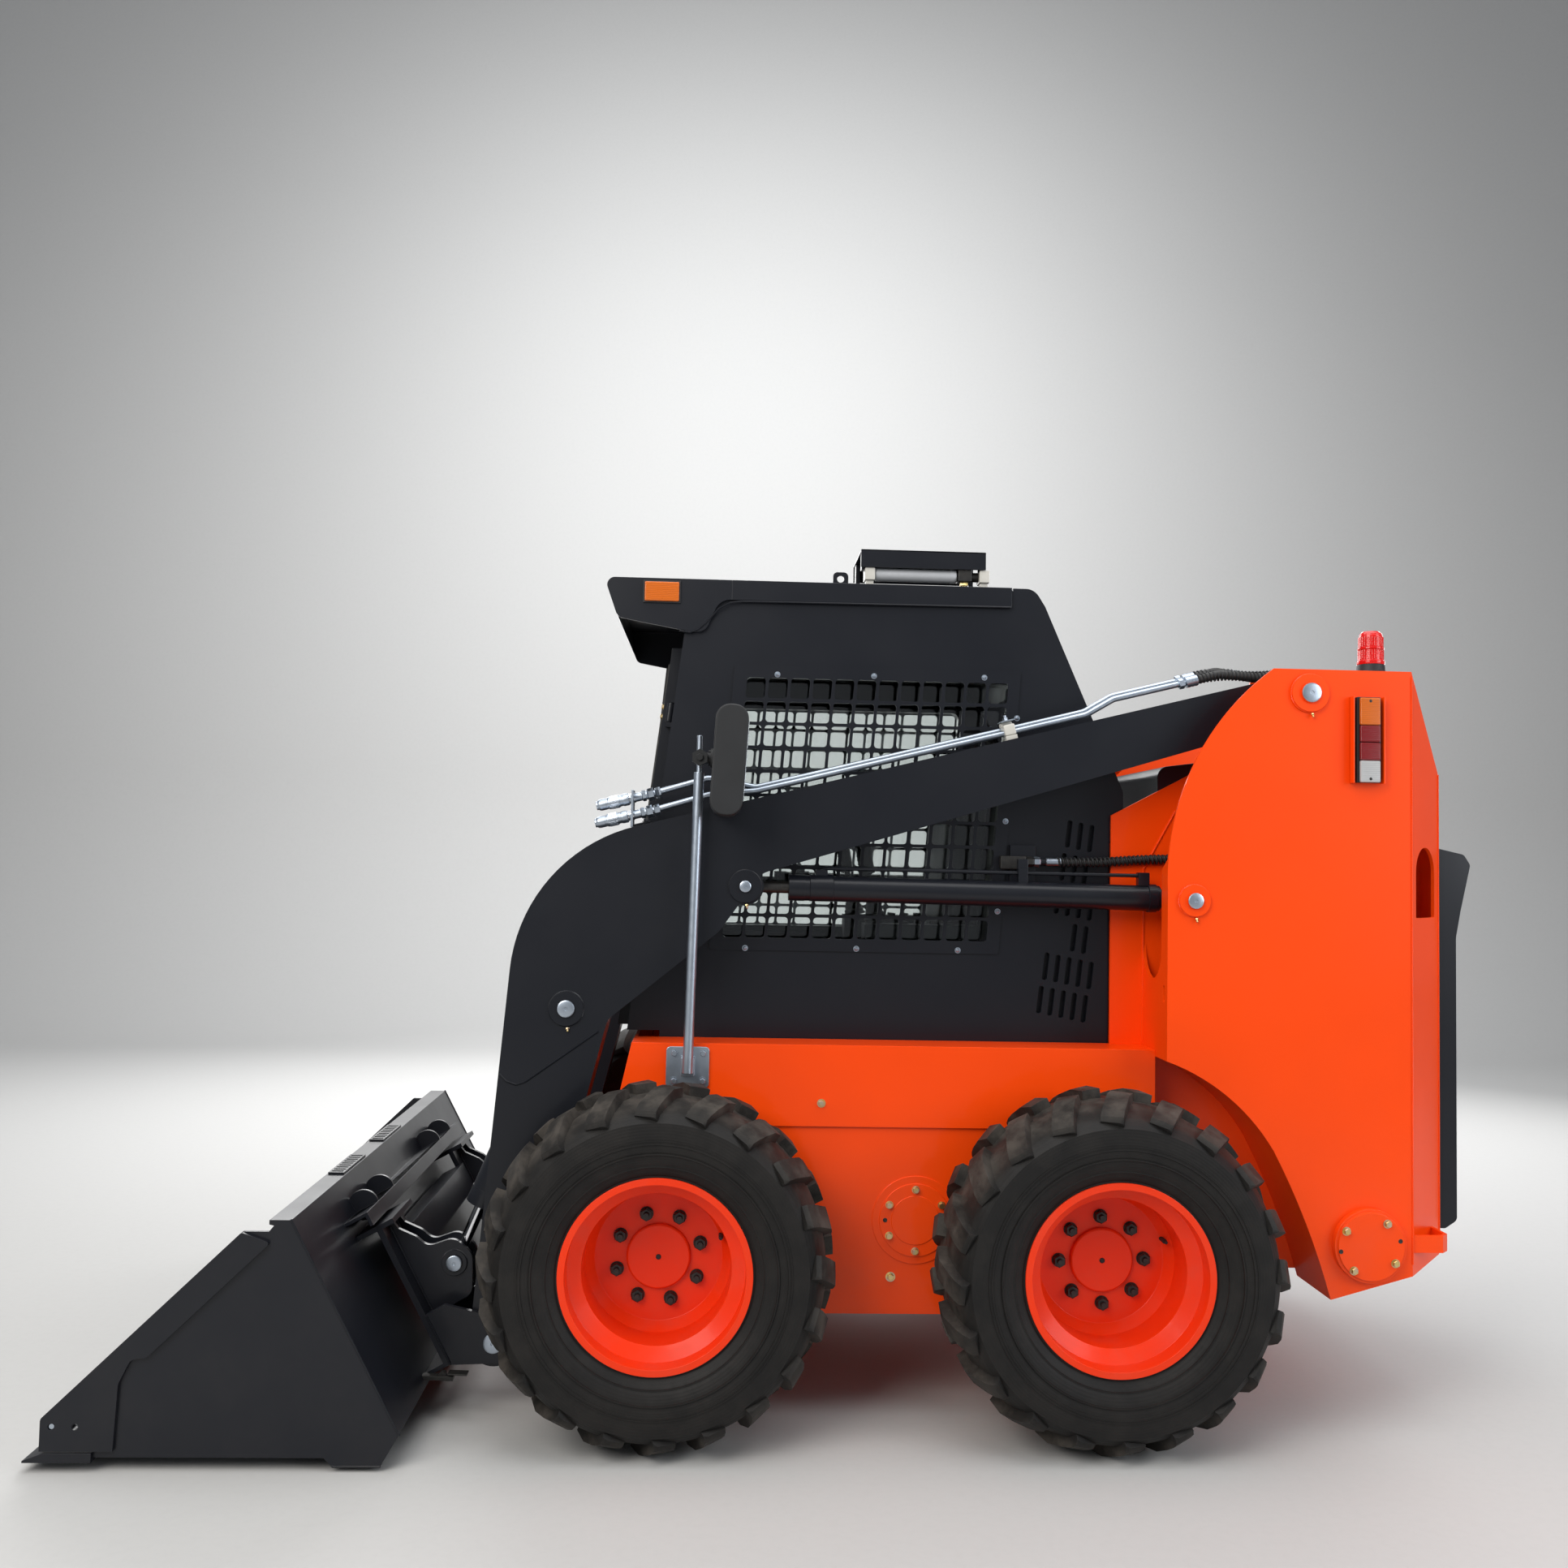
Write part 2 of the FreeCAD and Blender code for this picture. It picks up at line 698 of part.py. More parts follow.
def arm_shape():
    """Right arm: plated box boom, wide leg in front that holds the tilt cylinder, bosses and pins."""
    outline = arm_corners()
    hollow = inset(outline, plate)
    boom = plate_y(outline, boom_inner, arm_outer)
    leg = plate_y(outline, leg_inner, arm_outer).common(plate_y(leg_region(0.0), leg_inner, arm_outer))
    boom_cavity = plate_y(hollow, boom_inner + plate, arm_outer - plate)
    leg_cavity = plate_y(hollow, leg_inner + plate, arm_outer - plate)
    leg_cavity = leg_cavity.common(plate_y(leg_region(plate), leg_inner, arm_outer))
    shell = boom.fuse(leg).cut([boom_cavity, leg_cavity])
    low, high = leg_window
    shell = shell.cut(box(tilt_eye[0] - 150, hitch_pin[0] + 20, leg_inner + plate, arm_outer - plate, low,
                          high))
    front, back = cylinder_window
    shell = shell.cut(box(front, back, boom_inner + plate, arm_outer - plate, 1100, 1430))
    tail = pin(arm_pivot, arm_tail_radius, tower_inner + plate + side_gap, tower_outer - plate - side_gap)
    eye_low = lift_middle - eye_width / 2 - side_gap
    eye_high = lift_middle + eye_width / 2 + side_gap
    tilt_low = tilt_middle - eye_width / 2 - side_gap
    tilt_high = tilt_middle + eye_width / 2 + side_gap
    bosses = [
        pin(lift_eye, 46.0, boom_inner, boom_inner + plate),
        pin(lift_eye, 46.0, arm_outer - plate, arm_outer),
        pin(lift_eye, 30.0, boom_inner, eye_low),
        pin(lift_eye, 30.0, eye_high, arm_outer),
        pin(lift_eye, 40.0, arm_outer, arm_outer + 6),
        pin(lift_eye, 15.0, arm_outer, arm_outer + 10),
        pin(tilt_base, 34.0, leg_inner, tilt_low),
        pin(tilt_base, 34.0, tilt_high, arm_outer),
        pin(tilt_base, tilt_pin_radius, leg_inner, arm_outer + 10),
        pin(tilt_base, 42.0, arm_outer, arm_outer + 6),
    ]
    arm = one(shell, tail, *bosses)
    arm = arm.cut(pin(arm_pivot, pivot_pin_radius + fit_gap, 0, 800))
    arm = arm.cut(pin(hitch_pin, pivot_pin_radius + fit_gap, 0, 800))
    return arm


def add_arms():
    right = arm_shape()
    nodes["arm_right"] = right
    nodes["arm_left"] = mirrored(right)
    x, z, radius = cross_tube
    tube = pin((x, z), radius, -leg_inner, leg_inner)
    nodes["arm_cross_tube"] = tube.cut(pin((x, z), radius - plate, -leg_inner, leg_inner))


def pipe(points, radius, bend):
    """Round pipe through points, with each inner corner bent to the radius given."""
    edges = []
    here = V(*points[0])
    for before, corner, after in zip(points, points[1:], points[2:]):
        corner = V(*corner)
        back = V(*before) - corner
        ahead = V(*after) - corner
        back.normalize()
        ahead.normalize()
        half = back.getAngle(ahead) / 2
        middle = back + ahead
        middle.normalize()
        run = bend / math.tan(half)
        start = corner + back * run
        edges.append(Part.LineSegment(here, start).toShape())
        end = corner + ahead * run
        edges.append(Part.Arc(start, corner + middle * (bend / math.sin(half) - bend), end).toShape())
        here = end
    edges.append(Part.LineSegment(here, V(*points[-1])).toShape())
    path = Part.Wire(edges)
    first = V(*points[1]) - V(*points[0])
    ring = Part.Wire([Part.Circle(V(*points[0]), first, radius).toShape()])
    return path.makePipeShell([ring], True, False)


def add_aux_lines():
    """Steel pipes along the left arm with their couplers, and the hoses that carry on from them."""
    pipes = []
    hoses = []
    top_slope = math.tan(touching(arm_front_corner, arm_pivot, arm_tail_radius, 1))

    def above(x, height):
        return arm_front_corner[1] + (x - arm_front_corner[0]) * top_slope + height

    lying = (arm_hose_radius + seat_gap) * math.hypot(1, top_slope)
    # rows: y, height over the arm's top edge at the coupler, height further back
    rows = ((-486.0, 94.0, 30.0), (-512.0, 50.0, 20.0))
    for y, front_height, height in rows:
        start = (coupler_x, y, above(coupler_x, front_height) - 20)
        points = [
            start, (coupler_x + 152.0, y, above(coupler_x + 152.0, front_height) - 12),
            (coupler_x + 272.0, y, above(coupler_x + 272.0, height)),
            (pipe_rear - 255.0, y, above(pipe_rear - 255.0, height)),
            (pipe_rear - 185.0, y, above(pipe_rear - 185.0, height + 24)),
            (pipe_rear, y, above(pipe_rear, height + 24)),
        ]
        pipes.append(pipe(points, pipe_radius, pipe_bend))
        coupler = Part.makeCylinder(11.0, 130.0, V(*start), V(-1, 0, -0.24))
        nose = Part.makeCylinder(14.0, 60.0, V(*start), V(-1, 0, -0.24))
        nose.translate(V(-60, 0, -0.24 * 60))
        pipes.append(coupler)
        pipes.append(nose)
        end = points[-1]
        hoses.append(pipe(
            [(end[0] + seat_gap, y, end[2] + 0.25 * seat_gap),
             (pipe_rear + 85.0, y, above(pipe_rear + 85.0, height + 26)),
             (pipe_rear + 185.0, y, above(pipe_rear + 185.0, lying + 4)),
             (pipe_rear + 225.0, y, above(pipe_rear + 225.0, lying))],
            arm_hose_radius, 40.0,
        ))
    x = coupler_x - 38.0
    low = above(x + 6, 0) + seat_gap
    mount = box(x, x + 6, -530.0, -468.0, low, low + 92.0)
    body = one(pipes[0], *pipes[1:], mount)
    nodes["aux_pipes"] = body
    nodes["arm_hoses"] = Part.makeCompound(hoses)


def add_frame_hoses():
    """Bulkhead plate on the cab's rear corner, with one hose that runs back into the tower, each side."""
    hoses = []
    plates = []
    y = tower_inner + plate + seat_gap + frame_hose_radius
    front = mesh_rear + 3.0
    low = frame_hose_height - 53.0
    for sign in (-1, 1):
        near, far = sorted((sign * (cab_half + seat_gap), sign * (y - frame_hose_radius - seat_gap)))
        plates.append(box(front, front + 65.0, near, far, low, low + 95.0))
        start = V(front + 9.0, sign * y, frame_hose_height)
        plates.append(Part.makeCylinder(frame_hose_radius + 1, frame_fitting, start, V(1, 0, 0)))
        end = lift_base[0] + 105.0
        hoses.append(pipe(
            [(start.x + frame_fitting + seat_gap, start.y, start.z), (40.0, start.y, start.z),
             (180.0, start.y, start.z + 14),
             (end, start.y, start.z + 14)],
            frame_hose_radius, 120.0,
        ))
        near, far = sorted((sign * (tower_inner + plate + seat_gap), sign * (y + 14)))
        plates.append(box(end + seat_gap, end + 20.0, near, far, start.z - 3, start.z + 31))
    nodes["frame_hoses"] = Part.makeCompound(hoses)
    nodes["hose_brackets"] = Part.makeCompound(plates)


# Cylinders
def barrel_shape(length, tube, bore, rod, eye_bore, middle_width):
    """Cylinder barrel along +X from its base pin at the origin, with the gland at its end."""
    start = eye_radius + 8
    body = Part.makeCylinder(tube, length - start, V(start, 0, 0), V(1, 0, 0))
    neck = Part.makeCylinder(middle_width / 2 - 1, start + 5, V(0, 0, 0), V(1, 0, 0))
    gland = Part.makeCylinder(tube + 1, gland_length, V(length - gland_length, 0, 0), V(1, 0, 0))
    eye = Part.makeCylinder(eye_radius, middle_width, V(0, -middle_width / 2, 0), V(0, 1, 0))
    barrel = one(body, neck, gland, eye)
    hollow = Part.makeCylinder(bore, length - gland_length - eye_radius - 15, V(eye_radius + 15, 0, 0),
                               V(1, 0, 0))
    guide = Part.makeCylinder(rod + fit_gap, gland_length + 20, V(length - gland_length - 10, 0, 0),
                              V(1, 0, 0))
    hole = Part.makeCylinder(eye_bore + fit_gap, 200, V(0, -100, 0), V(0, 1, 0))
    return barrel.cut([hollow, guide, hole])


def rod_shape(total, start, bore, rod, eye_bore):
    """Rod along +X with its piston at start and its eye at total, from the same base pin."""
    piston = Part.makeCylinder(bore - fit_gap, 28, V(start, 0, 0), V(1, 0, 0))
    shaft = Part.makeCylinder(rod, total - start - 10, V(start, 0, 0), V(1, 0, 0))
    eye = Part.makeCylinder(eye_radius - 3, eye_width - 2, V(total, 1 - eye_width / 2, 0), V(0, 1, 0))
    whole = one(piston, shaft, eye)
    return whole.cut(Part.makeCylinder(eye_bore, 200, V(total, -100, 0), V(0, 1, 0)))


def add_cylinders():
    # rows: name, base pin, rod eye, middle y, length, tube, bore, rod, piston start, pin
    rows = (
        ("lift", lift_base, lift_eye, lift_middle, lift_length, lift_tube, lift_bore, lift_rod, 150.0,
         lift_pin_radius),
        ("tilt", tilt_base, tilt_eye, tilt_middle, tilt_length, tilt_tube, tilt_bore, tilt_rod, 137.0,
         tilt_pin_radius),
    )
    for name, base, eye, y, length, tube, bore, rod, start, pin_radius in rows:
        barrel = between(barrel_shape(length, tube, bore, rod, pin_radius, eye_width), base, eye, y)
        shaft = between(rod_shape(distance(base, eye), start, bore, rod, pin_radius), base, eye, y)
        nodes[f"{name}_barrel_right"] = barrel
        nodes[f"{name}_rod_right"] = shaft
        nodes[f"{name}_barrel_left"] = mirrored(barrel)
        nodes[f"{name}_rod_left"] = mirrored(shaft)


# Bucket
back_length = distance(bucket_corner, bucket_lip)
back_up = ((bucket_lip[0] - bucket_corner[0]) / back_length,
           (bucket_lip[1] - bucket_corner[1]) / back_length)
back_out = (back_up[1], -back_up[0])


def on_back(up, out):
    """Point of the XZ plane at a distance up the bucket's back and out behind it."""
    return (
        bucket_corner[0] + back_up[0] * up + back_out[0] * out,
        bucket_corner[1] + back_up[1] * up + back_out[1] * out,
    )


def add_bucket():
    heel_rear, heel_front, heel_low = bucket_heel
    t = bucket_plate
    cheek_out = bucket_half - t
    lip_front = bucket_lip[0] - lip_depth
    skin = plate_y(
        sharp([
            (blade_end, bucket_floor), (heel_front, bucket_floor), (heel_front, heel_low),
            (heel_rear, heel_low),
            bucket_corner, bucket_lip, (lip_front, bucket_lip[1]), (lip_front, bucket_lip[1] - t),
            on_back(back_length - t - 6, -t - 2), on_back(120, -t),
            (on_back(60, -t)[0] - 60, bucket_floor + t),
            (blade_end, bucket_floor + t),
        ]),
        -cheek_out, cheek_out,
    )
    cheek = plate_y(
        [
            (cheek_nose[0], blade_top + 4, 0), (cheek_nose[0], cheek_nose[1], 12),
            (cheek_top[0], cheek_top[1], 8),
            (lip_front, cheek_top[1], 0), (lip_front + 20, bucket_lip[1], 0), (*bucket_lip, 0),
            (*bucket_corner, 0),
            (heel_rear, heel_low, 0), (heel_front, heel_low, 0), (heel_front - 20, bucket_floor, 0),
            (blade_end, bucket_floor, 0), (blade_end, blade_top + 4, 0),
        ],
        cheek_out - t, cheek_out,
    )
    rib = plate_y(
        sharp([on_back(rib_height, 0), on_back(rib_height, rib_depth), on_back(rib_height - 34, rib_depth),
               on_back(rib_height - 34, rib_depth - 8), on_back(rib_height - 8, rib_depth - 8),
               on_back(rib_height - 8, 0)]),
        -rib_half, rib_half,
    )
    parts = [skin, cheek, mirrored(cheek), rib]
    gusset = pin(on_back(rib_height + 8, 23), gusset_radius, -5.0, 5.0)
    for y in (-480.0, -310.0, 310.0, 480.0):
        copy = gusset.copy()
        copy.translate(V(0, y, 0))
        parts.append(copy)
    nodes["bucket_shell"] = one(parts[0], *parts[1:])

    blade = plate_y(
        sharp([(bucket_tip, blade_bottom), (blade_end, blade_bottom), (blade_end, blade_top),
               (bucket_tip + 42, blade_top), (bucket_tip, blade_bottom + 4)]),
        -bucket_half, bucket_half,
    )
    cutter = plate_y(
        [(cheek_nose[0], blade_top + 4, 0), (cheek_nose[0], cheek_nose[1], 12),
         (cheek_top[0], cheek_top[1], 8),
         (cheek_top[0] + 63, cheek_top[1] - 22, 6), (cheek_nose[0] + 218, cheek_nose[1] + 129, 10),
         (cheek_nose[0] + 186, cheek_nose[1] + 127, 20), (cheek_nose[0] + 161, cheek_nose[1] + 74, 20),
         (cheek_nose[0] + 155, blade_top + 4, 0)],
        cheek_out, bucket_half,
    )
    holes = []
    for x in cutter_holes:
        holes.append(pin((x, cutter_hole_height), cutter_hole_radius, -bucket_half - 1, bucket_half + 1))
    cutter = cutter.cut(holes)
    nodes["bucket_shell"] = nodes["bucket_shell"].cut(holes)
    steps = []
    width, first, count, pitch = step_grille
    low = bucket_lip[1] + seat_gap
    for y in step_middles:
        step = box(bucket_lip[0] - lip_depth + 4, bucket_lip[0] - 4, y - width / 2, y + width / 2, low,
                   low + 5)
        slots = []
        for i in range(count):
            near = y - width / 2 + first + i * pitch
            slots.append(box(bucket_lip[0] - lip_depth + 9, bucket_lip[0] - 9, near, near + pitch / 2,
                             low - 1, low + 6))
        steps.append(step.cut(slots))
    nodes["bucket_edges"] = Part.makeCompound([blade, cutter, mirrored(cutter), *steps])


def hitch_side():
    """Right half of the hitch: upright plate, wedge top, foot, and four ears in two pairs."""
    row_in, row_tilt_in, row_tilt_out, row_out = hitch_rows
    near = row_in - 6
    far = row_out + hitch_ear
    foot, crown = hitch_span
    face = hitch_stand + hitch_plate
    upright = plate_y(
        sharp([on_back(foot, hitch_stand), on_back(crown, hitch_stand), on_back(crown, face),
               on_back(foot, face)]),
        near, far,
    )
    head = plate_y(
        sharp([on_back(crown - 12, seat_gap), on_back(crown, seat_gap), on_back(crown, 96),
               on_back(crown - 12, 96)]),
        near, far,
    )
    sill = plate_y(
        sharp([on_back(foot, seat_gap), on_back(foot + 10, seat_gap), on_back(foot + 10, face),
               on_back(foot, face)]),
        near, far,
    )
    lower = [
        (*on_back(foot, face - 2), 0), (*on_back(144, face - 2), 0), (*on_back(145, 114), 12),
        (*on_back(83, 185), 12), (*on_back(50, 234), 34), (*on_back(-18, 226), 34),
        (*on_back(-42, 172), 20),
    ]
    upper = [
        (*on_back(120, face - 2), 0), (*on_back(crown - 6, face - 2), 0), (*on_back(crown - 6, 74), 8),
        (*on_back(crown - 36, 80), 10), (*on_back(312, 110), 30), (*on_back(278, 124), 30),
        (*on_back(268, 190), 34), (*on_back(214, 212), 34), (*on_back(126, 168), 30),
        (*on_back(126, 130), 12),
    ]
    parts = [upright, head, sill]
    for row in (row_in, row_out):
        parts.append(plate_y(lower, row, row + hitch_ear))
    for row in (row_tilt_in, row_tilt_out):
        parts.append(plate_y(upper, row, row + hitch_ear))
    parts.append(pin(hitch_pin, pivot_pin_radius, row_in, row_out + hitch_ear))
    parts.append(pin(tilt_eye, 30.0, row_tilt_out + hitch_ear, row_tilt_out + hitch_ear + 6))
    parts.append(pin(tilt_eye, 20.0, row_tilt_out + hitch_ear, row_tilt_out + hitch_ear + 10))
    return one(parts[0], *parts[1:])


def add_hitch():
    right = hitch_side()
    reach = hitch_rows[0] - 6
    beam = plate_y(
        sharp([on_back(250, 8), on_back(330, 8), on_back(330, 76), on_back(250, 76)]), -reach,
        reach)
    hollow = plate_y(
        sharp([on_back(256, 14), on_back(324, 14), on_back(324, 70), on_back(256, 70)]), -reach, reach)
    low = plate_y(
        sharp([on_back(hitch_span[0], hitch_stand), on_back(hitch_span[0] + 50, hitch_stand),
               on_back(hitch_span[0] + 50, hitch_stand + 10), on_back(hitch_span[0], hitch_stand + 10)]),
               -reach,
        reach)
    nodes["hitch_frame"] = one(right, mirrored(right), beam.cut(hollow), low)


# Cab
pillar_lean = (pillar_head - pillar_foot) / (cab_top - cab_floor)
roof_underside = roof_top - plate


def cab_corners():
    top = roof_underside - seat_gap
    return [
        (pillar_foot, cab_floor, 0), (pillar_foot + (top - cab_floor) * pillar_lean, top, 0),
        (roof_rear + 4, top, 0),
        (roof_rear + 4, roof_top, 0), (roof_rear + 60, roof_top, 40), (*cab_back_high, 40),
        (*cab_back_low, 30),
        (cab_back_low[0], cab_back_low[1] - 60, 20), (cab_rear, cab_back_low[1] - 100, 20),
        (cab_rear, cab_floor, 0),
    ]


door_span = (cab_floor + 4, visor_bottom - 30)
foot_end = front_axle - case_overhang + 620 + plate
front_axis_y = -door_half - knuckle_radius - 2.0


def leaning(half, z0, z1, near, far):
    """Slab between two heights whose faces lie near and far behind the slanted pillar line."""
    front0 = pillar_foot + (z0 - cab_floor) * pillar_lean
    front1 = pillar_foot + (z1 - cab_floor) * pillar_lean
    return plate_y(sharp([(front0 + near, z0), (front1 + near, z1), (front1 + far, z1), (front0 + far, z0)]),
                   -half, half)


def leaned(shape):
    """Tilts a piece made on a vertical line at x = 0 so that the line follows the front pillar."""
    shape.translate(V(0, 0, -cab_floor))
    shape.rotate(V(0, 0, 0), V(0, 1, 0), math.degrees(math.atan(pillar_lean)))
    shape.translate(V(pillar_foot, 0, cab_floor))
    return shape


def add_cab():
    outer = plate_y(cab_corners(), -cab_half, cab_half)
    w = cab_wall
    room = plate_y(
        [
            (pillar_foot + w + sole * pillar_lean, cab_floor + sole, 0),
            (pillar_foot + w + (cab_top - cab_floor) * pillar_lean, cab_top, 0),
            (roof_rear - 30, cab_top, 60), (cab_back_low[0] - w - 40, cab_back_low[1], 60),
            (cab_rear - w, cab_back_low[1] - 140, 20), (cab_rear - w, cab_floor + sole, 0),
        ],
        w - cab_half, cab_half - w,
    )
    shell = outer.cut(room)
    left, top = mesh_start
    wide = mesh_columns * mesh_pitch_x
    tall = mesh_rows * mesh_pitch_z
    window = plate_y(
        [
            (left - mesh_lean * tall, top - tall, 20), (left, top, 20), (left + wide, top, 20),
            (left + wide - mesh_lean * tall, top - tall, 20),
        ],
        -2 * cab_half, 2 * cab_half,
    )
    shell = shell.cut(window)
    vents = []
    half = vent_size[1] / 2
    lean = vent_size[0] * vent_lean
    for row, (first, count) in enumerate(side_vents):
        for column in range(first, first + count):
            x = vent_corner[0] + column * vent_step[0] + row * vent_row[0]
            z = vent_corner[1] + column * vent_step[1] + row * vent_row[1]
            for y0 in (-cab_half - 1, cab_half - vent_depth):
                vents.append(plate_y(
                    [(x - half, z, half - 0.5), (x - half + lean, z + vent_size[0], half - 0.5),
                     (x + half + lean, z + vent_size[0], half - 0.5), (x + half, z, half - 0.5)],
                    y0, y0 + vent_depth + 1,
                ))
    shell = shell.cut(vents)
    rear_opening = box(0, 300, -300, 300, 1300, 1500)
    slant = plate_x([(-330, 1560, 20), (330, 1560, 20), (330, 1900, 20), (-330, 1900, 20)], -120, 200)
    shell = shell.cut([rear_opening, slant])
    low, high = door_span
    doorway = leaning(door_half + 4, low - 4, high + 4, -80, cab_wall + 20)
    well = box(front_axle - fender_nose_top, foot_end, -case_inner, case_inner, cab_floor - 10,
               cab_floor + sole + 10)
    shell = shell.cut([doorway, well])
    skirts = []
    for sign in (-1, 1):
        near, far = sorted((sign * (cab_half - 50), sign * cab_half))
        skirts.append(box(front_axle - 20, cab_rear, near, far, case_top + seat_gap, cab_floor))
    hinges = []
    for z in front_hinges:
        for start in (z - 1 - leaf_height, z + knuckle_height + 1):
            leaf = box(-door_pin_out - hinge_pin, 5, front_axis_y - knuckle_radius,
                       front_axis_y + knuckle_radius - 1,
                       start, start + leaf_height)
            hinges.append(leaned(leaf))
        bar = Part.makeCylinder(hinge_pin, knuckle_height + 2 + 2 * leaf_height,
                                V(-door_pin_out, front_axis_y, z - 1 - leaf_height))
        hinges.append(leaned(bar))
    nodes["cab_frame"] = one(shell, *skirts, *hinges)
    guard = guard_shape()
    nodes["side_guard_right"] = guard
    nodes["side_guard_left"] = mirrored(guard)

    roof = plate_y(
        [
            (roof_front, roof_top, 20), (roof_front + 37, visor_bottom + 32, 24),
            (pillar_head - 2, visor_bottom, 0),
            (pillar_head + 42, visor_bottom - 4, 30), (pillar_head + 80, roof_skirt, 40),
            (roof_rear, roof_skirt, 0),
            (roof_rear, roof_top, 0),
        ],
        -roof_half, roof_half,
    )
    under = plate_y(
        sharp([
            (roof_front + 55, visor_bottom - 60), (roof_front + 20, roof_underside),
            (roof_rear + 20, roof_underside),
            (roof_rear + 20, visor_bottom - 60),
        ]),
        -roof_half + plate, roof_half - plate,
    )
    eye_x, eye_z, eye_bore = lifting_eye
    eye_foot = roof_top + seat_gap
    eye = plate_y([(eye_x - 20, eye_foot, 0), (eye_x - 20, eye_z + 18, 12), (eye_x + 20, eye_z + 18, 12),
                   (eye_x + 20, eye_foot, 0)], -roof_half + 30, -roof_half + 30 + plate)
    eye = eye.cut(pin((eye_x, eye_z), eye_bore, -roof_half, 0))
    nodes["lifting_eyes"] = Part.makeCompound([eye, mirrored(eye)])
    roof = roof.cut(under)
    seam = pillar_head + visor_length
    ahead = box(roof_front - 10, seam, -roof_half - 10, roof_half + 10, visor_bottom - 100, roof_top + 10)
    nodes["cab_visor"] = roof.common(ahead)
    nodes["cab_roof"] = roof.cut(ahead)


def guard_shape():
    """Right side guard: flat sheet with a leaning grid of square windows."""
    left, top = mesh_start
    wide = mesh_columns * mesh_pitch_x
    tall = mesh_rows * mesh_pitch_z
    m = guard_margin
    y0 = cab_half + seat_gap
    sheet = plate_y(
        [
            (left - mesh_lean * tall - m, top - tall - m, 8), (left - m, top + m, 8),
            (left + wide + m, top + m, 8),
            (left + wide - mesh_lean * tall + m, top - tall - m, 8),
        ],
        y0, y0 + guard_sheet,
    )
    half = mesh_bar / 2
    holes = []
    for row in range(mesh_rows):
        high = top - row * mesh_pitch_z - half
        low = high - mesh_pitch_z + mesh_bar
        for column in range(mesh_columns):
            x = left + column * mesh_pitch_x
            near = x + half
            far = x + mesh_pitch_x - half
            shift_high = mesh_lean * (top - high)
            shift_low = mesh_lean * (top - low)
            r = mesh_corner
            holes.append(plate_y(
                [(near - shift_low, low, r), (near - shift_high, high, r), (far - shift_high, high, r),
                 (far - shift_low, low, r)],
                y0 - 1, y0 + guard_sheet + 1,
            ))
    return sheet.cut(Part.makeCompound(holes))


def add_glass():
    left, top = mesh_start
    wide = mesh_columns * mesh_pitch_x
    tall = mesh_rows * mesh_pitch_z
    y0 = cab_half - cab_wall - glass - seat_gap
    pane = plate_y(
        [
            (left - mesh_lean * tall - 20, top - tall - 20, 20), (left - 20, top + 20, 20),
            (left + wide + 20, top + 20, 20), (left + wide - mesh_lean * tall + 20, top - tall - 20, 20),
        ],
        y0, y0 + glass,
    )
    nodes["cab_glass"] = Part.makeCompound([pane, mirrored(pane)])


def add_doors():
    low, high = door_span
    frame = leaning(door_half, low, high, -door_depth, 0)
    frame = frame.cut(leaning(door_half - door_frame, low + 150, high - door_frame, -2 * door_depth,
                              door_depth))
    knuckles = []
    bores = []
    for z in front_hinges:
        tube = Part.makeCylinder(knuckle_radius, knuckle_height, V(-door_pin_out, front_axis_y, z))
        leaf = box(-door_pin_out - 6, -door_pin_out + 6, front_axis_y, -door_half + 5, z, z + knuckle_height)
        bore = Part.makeCylinder(hinge_pin + seat_gap, knuckle_height + 2,
                                 V(-door_pin_out, front_axis_y, z - 1))
        knuckles += [leaned(tube), leaned(leaf)]
        bores.append(leaned(bore))
    nodes["front_door"] = one(frame, *knuckles).cut(bores)
    g = seat_gap
    middle = -door_depth / 2
    nodes["door_glass"] = leaning(door_half - door_frame - g, low + 150 + g, high - door_frame - g,
                                  middle - glass / 2, middle + glass / 2)

    rear = tower_bend + tower_chamfer + rear_gap
    skin = [
        (rear, rear_bottom, 0), (rear, rear_top, 0), (rear + 74, rear_top - 16, 14),
        (rear + rear_lip[0], rear_lip[1], 14), (rear + rear_depth + 12, rear_lip[1] - 119, 60),
        (rear + rear_depth, rear_lip[1] - 186, 60), (rear + rear_depth, rear_bottom + 20, 16),
        (rear + rear_depth - 30, rear_bottom, 10),
    ]
    lining = inset(skin, rear_skin)
    lining = [(rear - 10, lining[0][1], 0), (rear - 10, lining[1][1], 0)] + lining[2:]
    door = plate_y(skin, -rear_half,
                   rear_half).cut(plate_y(lining, rear_skin - rear_half, rear_half - rear_skin))
    louvres = []
    wide, tall, pitch, count, low = louvre
    for y in (-louvre_middle, louvre_middle):
        for i in range(count):
            z = low + i * pitch
            slot = plate_x([(y - wide / 2, z, tall / 2 - 0.5), (y - wide / 2, z + tall, tall / 2 - 0.5),
                            (y + wide / 2, z + tall, tall / 2 - 0.5), (y + wide / 2, z, tall / 2 - 0.5)],
                           rear + 5, rear + 200)
            louvres.append(slot)
    door = door.cut(louvres)
    x, y = rear_axis
    knuckles = []
    bores = []
    for z in rear_hinges:
        knuckles.append(Part.makeCylinder(knuckle_radius, knuckle_height, V(x, y, z)))
        knuckles.append(box(x - 5, x + 6, rear_half - 5, y, z, z + knuckle_height))
        bores.append(Part.makeCylinder(hinge_pin + seat_gap, knuckle_height + 2, V(x, y, z - 1)))
    nodes["rear_door"] = one(door, *knuckles).cut(bores)


